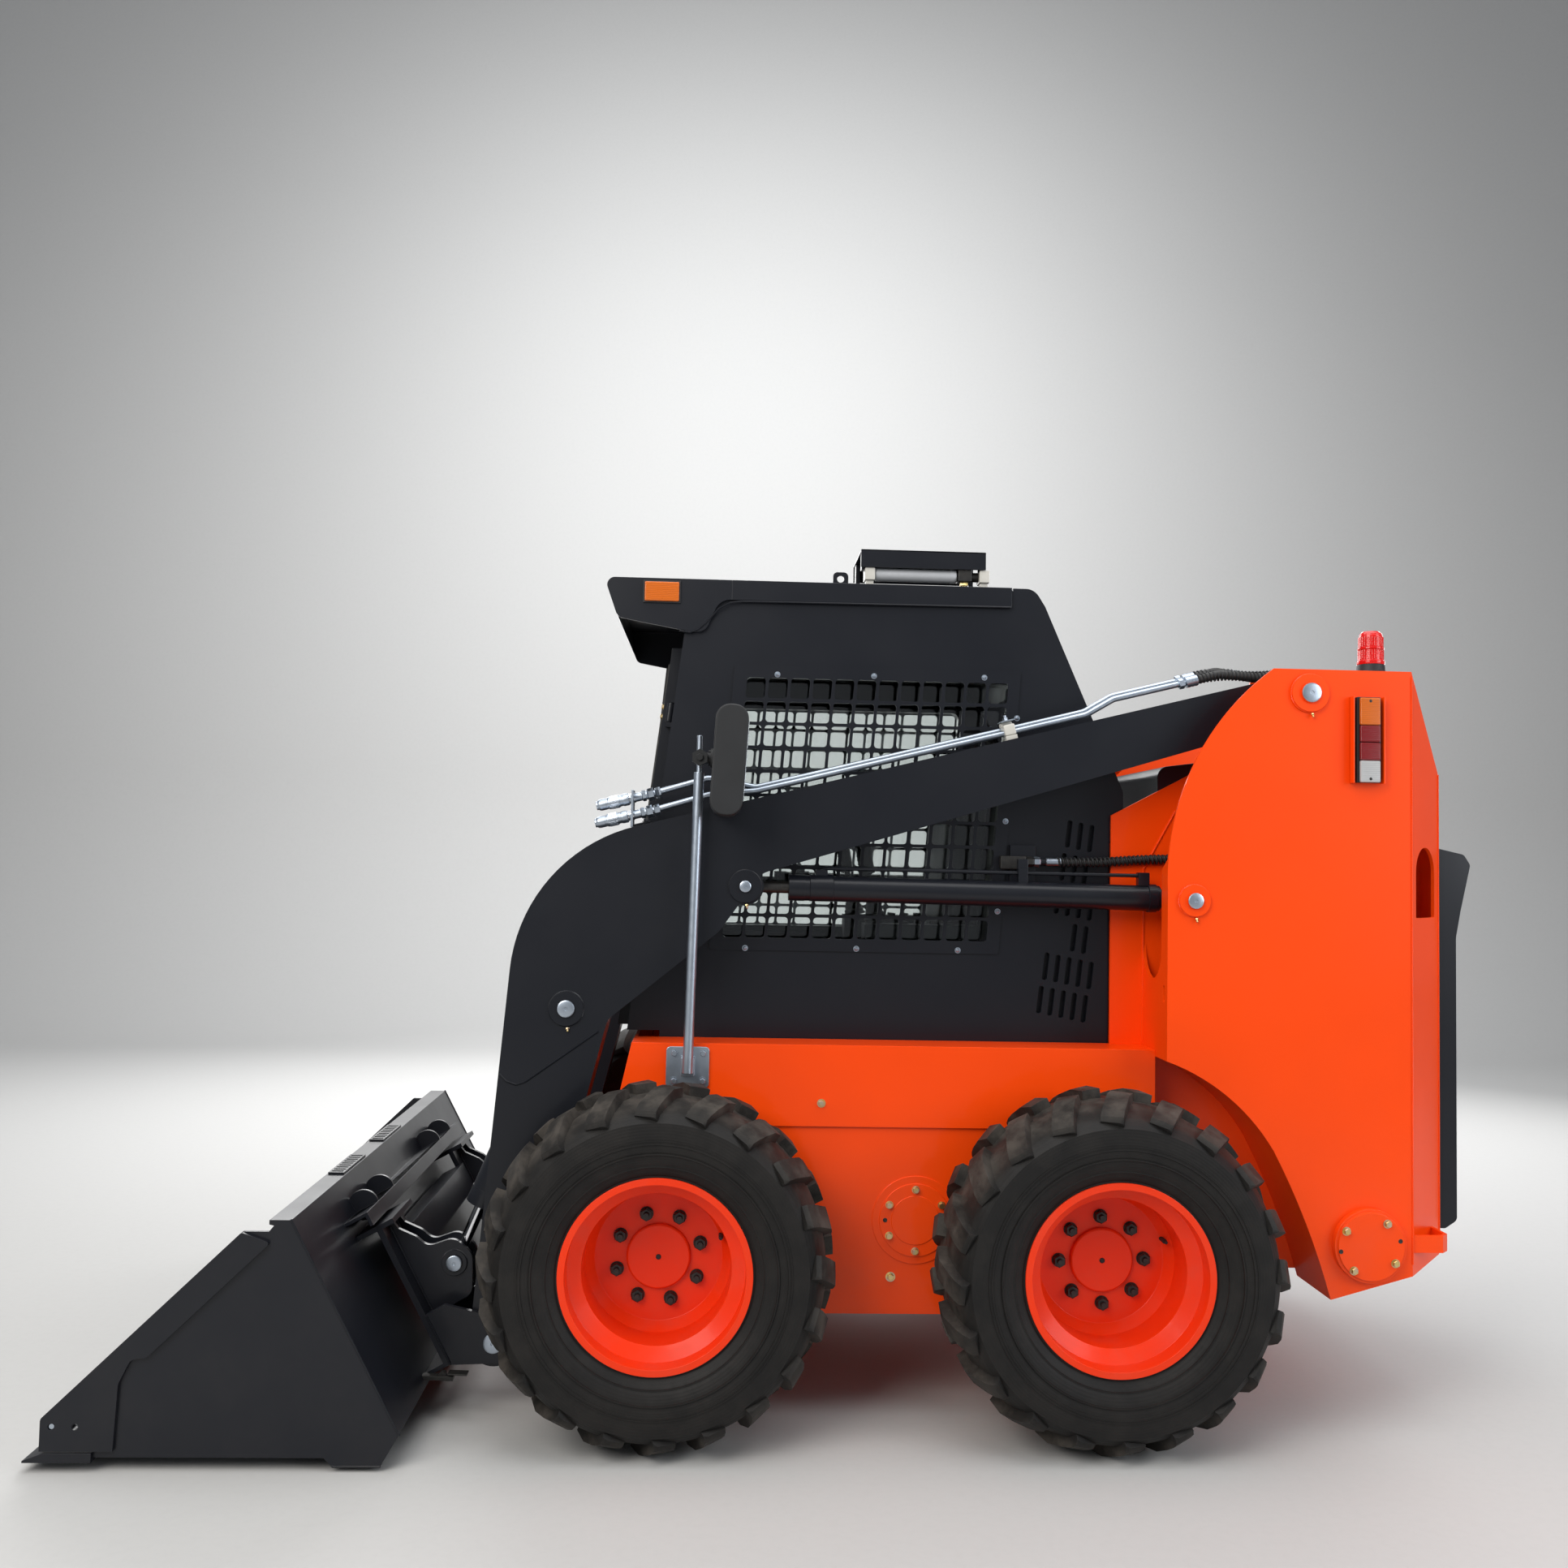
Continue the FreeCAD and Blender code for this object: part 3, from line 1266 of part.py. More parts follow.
# Inside the cab
def add_interior():
    """Seat box with its back plate, two cushions, and a pod with a lever on each side."""
    floor = cab_floor + sole + seat_gap
    g = seat_gap
    front = foot_end + 5
    rear = cab_rear - 135.0
    foot = seat_height - 10
    top = seat_height + seat_back_rise
    base = plate_y([(front, floor, 0), (front, seat_height, 20), (rear, seat_height, 20), (rear, floor, 0)],
                   -seat_half, seat_half)
    back = plate_y([(rear - 90, foot, 0), (rear - 50, top, 20), (rear, top, 20), (rear - 10, foot, 0)],
                   20 - seat_half, seat_half - 20)
    nodes["seat_frame"] = one(base, back)
    cushion = plate_y([(front - 5, seat_height + g, 20), (front - 5, seat_height + 85, 30),
                       (rear - 140, seat_height + 75, 30), (rear - 130, seat_height + g, 10)],
                      5 - seat_half, seat_half - 5)
    lean = 40.0 / (top - foot)
    rise = seat_back_rise - 50.0
    rest_low = seat_height + 90
    near = rear - 90 + (rest_low - foot) * lean - g
    rest = plate_y([(near - 95, rest_low, 30), (near + rise * lean - 80, rest_low + rise, 40),
                    (near + rise * lean, rest_low + rise, 20), (near, rest_low, 20)], 15 - seat_half,
                    seat_half - 15)
    nodes["seat_cushions"] = Part.makeCompound([cushion, rest])
    parts = []
    tall = seat_height + pod_rise
    for y in (-pod_middle, pod_middle):
        pod = box(front, front + pod_length, y - pod_half, y + pod_half, floor, tall)
        stem = Part.makeCylinder(9.0, 150.0, V(front + 37, y, tall - 5), V(-0.2, 0, 1))
        grip = Part.makeCylinder(20.0, 100.0, V(front + 10, y, tall + 130), V(-0.2, 0, 1))
        parts.append(one(pod, stem, grip))
    nodes["operator_controls"] = Part.makeCompound(parts)


# Engine
def add_engine():
    """Plain block with its head on four feet, under a hollow hood."""
    front, back, half, low, high = engine_box
    block = box(front, back, -half, half, low, high)
    head = box(front + 60, back - 40, 100 - half, half - 100, high, high + engine_head)
    shelf = case_bottom + 90 + plate + seat_gap
    feet = []
    for x in (front + 40, back - 120):
        for y in (50 - half, half - 50):
            feet.append(box(x, x + 60, y - 30, y + 30, shelf, low))
    nodes["engine_block"] = one(block, head, *feet)
    half = tower_inner - seat_gap
    outline = [(*hood_foot, 0), (hood_foot[0], hood_top, 30), (hood_foot[0] + 133, hood_top + 18, 60),
               (hood_rear, hood_foot[1] + 25, 10), (hood_rear, hood_foot[1], 0)]
    hood = plate_y(outline, -half, half)
    lining = inset(outline, plate)
    lining[0] = (lining[0][0], hood_foot[1] - 20, 0)
    lining[-1] = (lining[-1][0], hood_foot[1] - 20, 0)
    nodes["engine_hood"] = hood.cut(plate_y(lining, plate - half, half - plate))


# Lamps, mirrors, covers and roof unit
def pin_up(x, y, radius):
    """Tall bore along Z."""
    return Part.makeCylinder(radius, 2 * cab_top, V(x, y, 0), V(0, 0, 1))


def across(sign, near, far):
    """The Y range between two distances from the middle plane, on one side of the machine."""
    return sorted((sign * near, sign * far))


def block_outline(x0, x1, z0, z1, low_radius, high_radius):
    """Rectangle of the side view, rounded at its low and at its high corners."""
    return [(x0, z0, low_radius), (x0, z1, high_radius), (x1, z1, high_radius), (x1, z0, low_radius)]


def add_covers():
    """Round stepped covers low on the towers, and the beacon on the left one."""
    ahead, height, steps = rear_cover
    covers = []
    for sign in (-1, 1):
        rounds = []
        for radius, depth in steps:
            centre = V(tower_bend - ahead, sign * tower_outer, height)
            rounds.append(Part.makeCylinder(radius, depth, centre, V(0, sign, 0)))
        covers.append(one(*rounds))
    nodes["inspection_covers"] = Part.makeCompound(covers)
    x, y, base_radius, base_height, dome_radius, dome_height = beacon_size
    floor = tower_top + seat_gap
    base = Part.makeCylinder(base_radius, base_height, V(x, y, floor), V(0, 0, 1))
    dome = Part.makeCylinder(dome_radius, dome_height, V(x, y, floor + base_height), V(0, 0, 1))
    nodes["beacon"] = one(base, dome)


def add_lamps():
    """Tail lamps on the towers and marker lamps on the roof's edges."""
    lamps = []
    for sign in (-1, 1):
        x0, x1, low, high, depth = tail_lamp
        sides = across(sign, tower_outer + seat_gap, tower_outer + depth)
        lamps.append(plate_y(block_outline(x0, x1, low, high, 10, 10), *sides))
        x0, x1, low, high, depth = marker_lamp
        sides = across(sign, roof_half + seat_gap, roof_half + depth)
        lamps.append(plate_y(block_outline(x0, x1, low, high, 16, 16), *sides))
    nodes["lamps"] = Part.makeCompound(lamps)


def add_mirrors():
    """Foot plates on the fenders, poles, and mirror heads clamped to the thin stub on top."""
    x, low = mirror_foot
    mirrors = []
    heads = []
    for sign in (-1, 1):
        face = fender_outer + seat_gap
        middle = fender_outer + mirror_reach
        foot = plate_y(block_outline(x, x + 105, low, low + 99, 10, 10), *across(sign, face, face + 6))
        link = box(x + 37, x + 69, *across(sign, face + 3, middle), low + 31, low + 76)
        pole = Part.makeCylinder(mirror_pole, mirror_height, V(x + 53, sign * middle, low + 38),
                                 V(0.016, 0, 1))
        stub_x = x + 53 + 0.016 * mirror_height
        stub_low = low + 18 + mirror_height
        stub = Part.makeCylinder(mirror_pole - 6, 110.0, V(stub_x, sign * middle, stub_low), V(0, 0, 1))
        mirrors.append(one(foot, link, pole, stub))
        head_low = stub_low - 92
        head = plate_y(
            [(stub_x + 29, head_low, 26), (stub_x + 29, head_low + 268, 30),
             (stub_x + 114, head_low + 268, 36),
             (stub_x + 114, head_low, 26)],
            *across(sign, fender_outer + 20, fender_outer + 200),
        )
        clamp = box(stub_x - 18, stub_x + 37, *across(sign, middle - 16, middle + 16), stub_low + 38,
                    stub_low + 68)
        heads.append(one(head, clamp).cut(pin_up(stub_x, sign * middle, mirror_pole - 6 + seat_gap)))
    nodes["mirror_poles"] = Part.makeCompound(mirrors)
    nodes["mirror_heads"] = Part.makeCompound(heads)


def add_roof_unit():
    """Channel on four legs over the left roof edge, with a cylinder under it."""
    x0, x1, y0, y1, rise, depth = roof_tray
    floor = roof_top + seat_gap
    tray = box(x0, x1, y0, y1, roof_top + rise, roof_top + rise + depth)
    legs = []
    for x in (x0 + 3, x1 - 15):
        for y in (y0 + 10, y1 - 50):
            legs.append(box(x, x + 12, y, y + 40, floor, roof_top + rise + 3))
    middle = y0 + 30
    drum = Part.makeCylinder(drum_radius, x1 - x0 - 30, V(x0 + 13, middle, roof_top + 46), V(1, 0, 0))
    end = box(x0 + 3, x0 + 15, middle - drum_radius, middle + drum_radius, roof_top + 20, roof_top + rise)
    nodes["roof_unit"] = one(tray, *legs, drum, end)


add_wheels()
add_main_frame()
add_towers()
add_arms()
add_aux_lines()
add_frame_hoses()
add_cylinders()
add_bucket()
add_hitch()
add_cab()
add_glass()
add_doors()
add_interior()
add_engine()
add_covers()
add_lamps()
add_mirrors()
add_roof_unit()

rear_end = tower_bend + tower_chamfer + rear_gap + rear_lip[0]
centre_x = (bucket_tip + rear_end) / 2
os.makedirs("parts", exist_ok=True)
for name, shape in nodes.items():
    shape.translate(V(-centre_x, 0, 0))
    shape.exportStep(f"parts/{name}.step")
    print(name, len(shape.Solids), round(shape.Volume / 1e6, 3), "valid" if shape.isValid() else "INVALID")
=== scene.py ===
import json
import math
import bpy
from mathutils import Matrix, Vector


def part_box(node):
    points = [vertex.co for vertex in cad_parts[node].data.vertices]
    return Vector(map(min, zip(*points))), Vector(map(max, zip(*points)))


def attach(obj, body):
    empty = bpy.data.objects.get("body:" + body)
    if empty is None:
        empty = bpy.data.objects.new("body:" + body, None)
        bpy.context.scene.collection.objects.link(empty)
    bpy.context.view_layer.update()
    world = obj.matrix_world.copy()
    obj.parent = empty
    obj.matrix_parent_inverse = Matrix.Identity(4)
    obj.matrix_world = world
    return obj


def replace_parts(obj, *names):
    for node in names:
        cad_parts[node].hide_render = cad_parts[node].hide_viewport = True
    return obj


bl_info = {
    "name": "Skid steer loader",
    "version": (1, 0, 0),
    "blender": (4, 5, 0),
    "location": "3D View > Sidebar > Loader",
    "description": "Finishes the packed loader with paint, rubber, fasteners, hoses and lamps, and sets its stage",
    "category": "Object",
}

import bmesh
import bpy
from mathutils import Matrix, Vector

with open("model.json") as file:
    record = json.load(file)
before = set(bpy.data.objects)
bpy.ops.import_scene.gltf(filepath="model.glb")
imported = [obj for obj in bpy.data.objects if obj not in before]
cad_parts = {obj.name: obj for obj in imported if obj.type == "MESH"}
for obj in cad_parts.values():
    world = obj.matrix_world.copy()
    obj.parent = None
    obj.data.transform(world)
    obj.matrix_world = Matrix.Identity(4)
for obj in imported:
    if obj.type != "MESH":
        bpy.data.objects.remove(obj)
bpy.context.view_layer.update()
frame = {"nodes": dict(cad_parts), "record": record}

# Every length below is in metres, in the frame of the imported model.
MM = 0.001
SIDES = {"left": -1, "right": 1}
UP = Vector((0, 0, 1))
BACK = Vector((1, 0, 0))


def middle(node):
    low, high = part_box(node)
    return (Vector(low) + Vector(high)) / 2


axle = {end: middle(f"rim_{end}_left") for end in ("front", "rear")}
rear_x = axle["rear"].x
wheelbase = rear_x - axle["front"].x
home = {}
for body, members in frame["record"]["behaviour"]["bodies"].items():
    for member in members:
        home[member] = body


def at(x, y, z):
    """Point from millimetres, with X measured from the rear axle."""
    return Vector((rear_x + x * MM, y * MM, z * MM))


# Sizes and colours that a user may change
class LoaderSizes(bpy.types.PropertyGroup):
    plate_edge: bpy.props.FloatProperty(
        name="Plate edge", description="Rounding of cut and folded plate", default=0.0013, unit="LENGTH")
    tread_edge: bpy.props.FloatProperty(
        name="Tread edge", description="Rounding of the tread lugs", default=0.0035, unit="LENGTH")
    wrap_pitch: bpy.props.FloatProperty(
        name="Wrap pitch", description="Distance between turns of the hose guards", default=0.0095, unit="LENGTH")
    weld_radius: bpy.props.FloatProperty(
        name="Weld size", description="Half width of a weld bead", default=0.0045, unit="LENGTH")


class LoaderColours(bpy.types.PropertyGroup):
    body_orange: bpy.props.FloatVectorProperty(
        name="Body orange", description="Paint of frame and towers", subtype="COLOR", default=(0.9, 0.062, 0.001))
    wheel_orange: bpy.props.FloatVectorProperty(
        name="Wheel orange", description="Paint of the rims", subtype="COLOR", default=(0.8, 0.036, 0.004))
    work_black: bpy.props.FloatVectorProperty(
        name="Work black", description="Paint of arms, cab and bucket", subtype="COLOR", default=(0.0058, 0.0068, 0.0105))
    rubber: bpy.props.FloatVectorProperty(
        name="Rubber", description="Clean tyre rubber", subtype="COLOR", default=(0.0062, 0.0058, 0.0056))
    dust: bpy.props.FloatVectorProperty(
        name="Dust", description="Dry yard dust", subtype="COLOR", default=(0.2, 0.172, 0.145))


class LoaderStage(bpy.types.PropertyGroup):
    floor: bpy.props.FloatVectorProperty(
        name="Floor", description="Colour of floor and backdrop", subtype="COLOR", default=(0.47, 0.465, 0.455))
    lens: bpy.props.FloatProperty(
        name="Lens", description="Focal length on a 36 mm frame", default=33.5404, unit="CAMERA")
    key_power: bpy.props.FloatProperty(
        name="Key light", description="Power of the large light on the near side", default=275.0, unit="POWER")


# Shader maths
class Value:
    """A node socket whose maths is written as Python expressions."""

    def __init__(self, shader, socket):
        self.shader = shader
        self.socket = socket

    def maths(self, operation, first, second):
        return self.shader.node("ShaderNodeMath", {"operation": operation}, {0: first, 1: second})

    def __add__(self, other):
        return self.maths("ADD", self, other)

    def __sub__(self, other):
        return self.maths("SUBTRACT", self, other)

    def __rsub__(self, other):
        return self.maths("SUBTRACT", other, self)

    def __mul__(self, other):
        return self.maths("MULTIPLY", self, other)

    def __truediv__(self, other):
        return self.maths("DIVIDE", self, other)

    def __rtruediv__(self, other):
        return self.maths("DIVIDE", other, self)

    def __pow__(self, other):
        return self.maths("POWER", self, other)

    def __abs__(self):
        return self.maths("ABSOLUTE", self, 0.0)

    __radd__ = __add__
    __rmul__ = __mul__


class Shader:
    """A material with one method that makes every node."""

    def __init__(self, name):
        self.material = bpy.data.materials.new(name)
        self.material.use_nodes = True
        self.tree = self.material.node_tree
        self.base = self.tree.nodes["Principled BSDF"]
        self.place = self.node("ShaderNodeTexCoord", out="Object")

    def put(self, socket, value):
        if isinstance(value, Value):
            self.tree.links.new(value.socket, socket)
        elif socket.type == "RGBA" and len(value) == 3:
            socket.default_value = (*value, 1.0)
        else:
            socket.default_value = value

    def node(self, kind, settings=None, inputs=None, out=0):
        made = self.tree.nodes.new(kind)
        for key, setting in (settings or {}).items():
            if key == "stops":
                self.stops(made.color_ramp, setting)
            else:
                setattr(made, key, setting)
        for key, value in (inputs or {}).items():
            self.put(made.inputs[key], value)
        return Value(self, made.outputs[out])

    def stops(self, ramp, rows):
        for index, (position, colour) in enumerate(rows):
            stop = ramp.elements[index] if index < 2 else ramp.elements.new(position)
            stop.position = position
            stop.color = (*colour, 1.0)

    def axis(self, index):
        return self.node("ShaderNodeSeparateXYZ", {}, {0: self.place}, out=index)

    def noise(self, scale, detail=3.0, roughness=0.5, place=None):
        settings = {"noise_dimensions": "3D"}
        inputs = {"Vector": place or self.place, "Scale": scale, "Detail": detail, "Roughness": roughness}
        return self.node("ShaderNodeTexNoise", settings, inputs, out=0)

    def ramp(self, value, low, high):
        """0 at low and 1 at high, smooth in between and held outside."""
        inputs = {"Value": value, "From Min": low, "From Max": high, "To Min": 0.0, "To Max": 1.0}
        return self.node("ShaderNodeMapRange", {"clamp": True, "interpolation_type": "SMOOTHSTEP"}, inputs)

    def mix(self, factor, first, second):
        return self.node("ShaderNodeMix", {"data_type": "RGBA"}, {0: factor, 6: first, 7: second}, out=2)

    def bump(self, height, strength, distance):
        inputs = {"Height": height, "Strength": strength, "Distance": distance}
        return self.node("ShaderNodeBump", {}, inputs)

    def surface(self, **values):
        for key, value in values.items():
            self.put(self.base.inputs[key.replace("_", " ")], value)
        return self.material


def dust_near_ground(s, top, amount):
    """Mask of settled dust: thick at the ground, gone at the height given, and patchy."""
    low = 1.0 - s.ramp(s.axis(2), 0.0, top)
    return low * s.ramp(s.noise(5.5, 5.0, 0.62), 0.35, 0.75) * amount


def body_paint(s, colours):
    patches = s.noise(2.2, 3.0)
    deeper = tuple(c * 0.86 for c in colours.body_orange)
    colour = s.mix(s.ramp(patches, 0.4, 0.75) * 0.5, tuple(colours.body_orange), deeper)
    dust = dust_near_ground(s, 0.75, 0.16)
    colour = s.mix(dust, colour, tuple(colours.dust))
    return s.surface(
        Base_Color=colour, Roughness=0.3 + s.noise(7.0) * 0.1 + dust * 0.5, Coat_Weight=0.14 - dust * 0.8,
        Coat_Roughness=0.07, Specular_IOR_Level=0.18, Normal=s.bump(s.noise(230.0, 2.0), 0.12, 0.0006),
    )


def wheel_paint(s, colours):
    dust = s.ramp(s.noise(9.0, 5.0, 0.6), 0.42, 0.8) * 0.12
    colour = s.mix(dust, tuple(colours.wheel_orange), tuple(colours.dust))
    return s.surface(
        Base_Color=colour, Roughness=0.34 + dust, Coat_Weight=0.1 - dust * 0.8, Coat_Roughness=0.12,
        Specular_IOR_Level=0.18,
        Normal=s.bump(s.noise(260.0, 2.0), 0.1, 0.0005),
    )


def black_paint(s, colours):
    dust = dust_near_ground(s, 0.9, 0.025)
    haze = s.ramp(s.noise(1.6, 4.0, 0.6), 0.45, 0.8) * 0.012
    colour = s.mix(dust + haze, tuple(colours.work_black), tuple(colours.dust))
    return s.surface(
        Base_Color=colour, Roughness=0.3 + s.noise(6.0, 4.0) * 0.16 + dust, Coat_Weight=0.18 - dust,
        Coat_Roughness=0.14, Specular_IOR_Level=0.27, Normal=s.bump(s.noise(210.0, 2.0), 0.14, 0.0006),
    )


def tyre_rubber(s, colours):
    """Clean black walls, dust in the tread and on the worn lug tops, measured from each axle."""
    along = abs(s.axis(0) - (rear_x - wheelbase / 2)) - wheelbase / 2
    up = s.axis(2) - axle["rear"].z
    radius = (along * along + up * up) ** 0.5
    tread = s.ramp(radius, 0.352, 0.392)
    patches = s.ramp(s.noise(14.0, 6.0, 0.65), 0.35, 0.7)
    film = 0.006 + patches * 0.028 + tread * (0.05 + patches * 0.22)
    colour = s.mix(film, tuple(colours.rubber), tuple(colours.dust))
    rings = s.node("ShaderNodeMath", {"operation": "SINE"}, {0: radius * 900.0})
    grain = s.noise(340.0, 3.0) * 0.6 + rings * 0.25 * (1.0 - tread)
    return s.surface(Base_Color=colour, Roughness=0.58 + film * 0.8, Specular_IOR_Level=0.25,
                     Normal=s.bump(grain, 0.35, 0.0008))


def zinc_plate(s, colours):
    cells = s.node("ShaderNodeTexVoronoi", {"feature": "F1"}, {"Vector": s.place, "Scale": 170.0}, out=0)
    colour = s.mix(s.noise(25.0, 4.0), (0.5, 0.56, 0.63), (0.38, 0.43, 0.5))
    return s.surface(Base_Color=colour, Metallic=1.0, Roughness=0.28 + s.noise(60.0, 4.0) * 0.16,
                     Normal=s.bump(cells, 0.05, 0.0003))


def yellow_zinc(s, colours):
    tint = s.ramp(s.noise(70.0, 3.0), 0.35, 0.7)
    colour = s.mix(tint, (0.72, 0.55, 0.2), (0.62, 0.5, 0.38))
    return s.surface(Base_Color=colour, Metallic=1.0, Roughness=0.3 + tint * 0.15)


def hard_chrome(s, colours):
    fine = s.noise(900.0, 2.0)
    return s.surface(Base_Color=(0.74, 0.75, 0.78), Metallic=1.0, Roughness=0.1 + fine * 0.06)


def black_oxide(s, colours):
    colour = s.mix(s.noise(90.0, 4.0), (0.028, 0.028, 0.03), (0.07, 0.066, 0.06))
    return s.surface(Base_Color=colour, Metallic=0.8, Roughness=0.38 + s.noise(40.0) * 0.15)


def black_plastic(s, colours):
    return s.surface(Base_Color=s.mix(s.noise(12.0), (0.011, 0.0115, 0.0125), (0.02, 0.021, 0.023)),
                     Roughness=0.48 + s.noise(30.0) * 0.12, Specular_IOR_Level=0.36, Normal=s.bump(s.noise(700.0, 2.0), 0.3, 0.0003))


def hose_rubber(s, colours):
    return s.surface(Base_Color=s.mix(s.noise(20.0), (0.014, 0.014, 0.014), (0.035, 0.033, 0.03)), Roughness=0.55,
                     Normal=s.bump(s.noise(500.0, 2.0), 0.25, 0.0003))


def cab_glazing(s, colours):
    smear = s.ramp(s.noise(4.0, 5.0), 0.5, 0.85)
    return s.surface(Base_Color=(0.8, 0.84, 0.83), Roughness=0.02 + smear * 0.05, Transmission_Weight=1.0, IOR=1.45)


def lens(name, colour):
    def finish(s, colours):
        ribs_and_painted_shade = s.node("ShaderNodeTexWave", {"wave_type": "BANDS", "bands_direction": "Z"},
                      {"Vector": s.place, "Scale": 95.0, "Distortion": 0.0}, out=1)
        # The lens colour is darker along each rib: painted shade of the ribs. The same bands also give the ribs their
        # bump.
        return s.surface(Base_Color=s.mix(ribs_and_painted_shade * 0.6, colour, tuple(c * 0.55 for c in colour)), Roughness=0.14,
                         Transmission_Weight=0.08, Coat_Weight=0.25, Normal=s.bump(ribs_and_painted_shade, 0.4, 0.0008))

    finish.__name__ = name
    return finish


def seat_vinyl(s, colours):
    cells = s.node("ShaderNodeTexVoronoi", {"feature": "DISTANCE_TO_EDGE"}, {"Vector": s.place, "Scale": 420.0})
    colour = s.mix(s.noise(9.0), (0.02, 0.02, 0.022), (0.045, 0.043, 0.042))
    return s.surface(Base_Color=colour, Roughness=0.48 + s.noise(18.0) * 0.12, Normal=s.bump(cells, 0.5, 0.0005))


def rough_casting(s, colours):
    colour = s.mix(s.noise(11.0, 5.0), (0.045, 0.045, 0.047), (0.11, 0.1, 0.09))
    return s.surface(Base_Color=colour, Metallic=0.5, Roughness=0.62, Normal=s.bump(s.noise(190.0, 4.0), 0.5, 0.001))


def mill_aluminium(s, colours):
    stretched = s.node("ShaderNodeMapping", {}, {"Vector": s.place, "Scale": (8.0, 300.0, 300.0)})
    grain = s.noise(3.0, 4.0, place=stretched)
    return s.surface(Base_Color=s.mix(grain, (0.62, 0.63, 0.65), (0.5, 0.51, 0.53)), Metallic=1.0,
                     Roughness=0.26 + grain * 0.2)


def mirror_glass(s, colours):
    return s.surface(Base_Color=(0.86, 0.88, 0.9), Metallic=1.0, Roughness=0.02 + s.noise(3.0, 4.0) * 0.02)


def silver_paint(s, colours):
    colour = s.mix(s.noise(18.0, 4.0), (0.6, 0.61, 0.63), (0.48, 0.49, 0.51))
    return s.surface(Base_Color=colour, Metallic=0.25, Roughness=0.3 + s.noise(35.0) * 0.12,
                     Normal=s.bump(s.noise(240.0, 2.0), 0.15, 0.0004))


def white_nylon(s, colours):
    colour = s.mix(s.noise(30.0, 3.0), (0.62, 0.6, 0.55), (0.5, 0.48, 0.43))
    return s.surface(Base_Color=colour, Roughness=0.42, Normal=s.bump(s.noise(400.0, 2.0), 0.2, 0.0003))


def belt_webbing(s, colours):
    rows = s.node("ShaderNodeTexWave", {"wave_type": "BANDS", "bands_direction": "DIAGONAL"},
                  {"Vector": s.place, "Scale": 260.0}, out=1)
    colour = s.mix(rows, (0.012, 0.012, 0.013), (0.03, 0.03, 0.032))
    return s.surface(Base_Color=colour, Roughness=0.75, Normal=s.bump(rows, 0.5, 0.0004))


def yard_floor(s, colours):
    tone = tuple(bpy.context.scene.loader_stage.floor)
    speck = s.noise(40.0, 6.0, 0.7)
    colour = s.mix(s.ramp(speck, 0.4, 0.7) * 0.12, tone, tuple(c * 0.8 for c in tone))
    return s.surface(Base_Color=colour, Roughness=0.75, Normal=s.bump(speck, 0.08, 0.002))


FINISHES = {
    "orange_paint": body_paint, "rim_paint": wheel_paint, "black_paint": black_paint, "tyre_rubber": tyre_rubber,
    "zinc_steel": zinc_plate, "yellow_zinc": yellow_zinc, "chrome_rod": hard_chrome, "black_oxide": black_oxide,
    "black_plastic": black_plastic, "hose_rubber": hose_rubber, "glass": cab_glazing, "seat_vinyl": seat_vinyl,
    "cast_iron": rough_casting, "aluminium": mill_aluminium, "mirror_glass": mirror_glass, "floor": yard_floor,
    "red_lens": lens("red_lens", (0.78, 0.005, 0.003)), "amber_lens": lens("amber_lens", (0.68, 0.14, 0.006)),
    "clear_lens": lens("clear_lens", (0.5, 0.5, 0.5)), "dark_red_lens": lens("dark_red_lens", (0.22, 0.003, 0.006)),
    "white_nylon": white_nylon, "silver_paint": silver_paint, "belt_webbing": belt_webbing,
}
made = {}


def finish(name):
    if name not in made:
        shader = Shader(name)
        made[name] = FINISHES[name](shader, bpy.context.scene.loader_colours)
    return made[name]


# Mesh making
def square_to(axis):
    """Turns local Z on to the axis."""
    return Vector(axis).to_track_quat("Z", "Y").to_matrix().to_4x4()


def prism(bm, sides, radius, start, axis, length, end_radius=None, turn=0.0):
    """Straight prism or cone that grows from start along axis."""
    axis = Vector(axis).normalized()
    matrix = Matrix.Translation(Vector(start) + axis * (length / 2)) @ square_to(axis) @ Matrix.Rotation(turn, 4, "Z")
    grown = bmesh.ops.create_cone(
        bm, cap_ends=True, cap_tris=False, segments=sides, radius1=radius,
        radius2=radius if end_radius is None else end_radius, depth=length, matrix=matrix)
    return grown["verts"]


def bevel(bm, edges, width, segments=2):
    bmesh.ops.bevel(bm, geom=edges, offset=width, offset_type="OFFSET", segments=segments, profile=0.5,
                    affect="EDGES", clamp_overlap=True, material=-1)


def edges_of(verts):
    return list({edge for vert in verts for edge in vert.link_edges})


def block(bm, size, centre, turn=None, edge=0.001, segments=2):
    """Rounded block with its middle at centre."""
    matrix = Matrix.Translation(Vector(centre)) @ (turn or Matrix()) @ Matrix.Diagonal((*size, 1.0))
    grown = bmesh.ops.create_cube(bm, size=1.0, matrix=matrix)
    if edge:
        bevel(bm, edges_of(grown["verts"]), edge, segments)


def spun(bm, profile, centre, axis, steps=32):
    """Body of revolution from (radius, height) rows, the heights along the axis from centre."""
    axis = Vector(axis).normalized()
    out = axis.orthogonal().normalized()
    centre = Vector(centre)
    verts = [bm.verts.new(centre + out * radius + axis * height) for radius, height in profile]
    edges = [bm.edges.new(pair) for pair in zip(verts, verts[1:])]
    grown = bmesh.ops.spin(bm, geom=verts + edges, cent=centre, axis=axis, angle=2 * math.pi, steps=steps,
                           use_merge=True, use_duplicate=False)
    return grown["geom_last"]


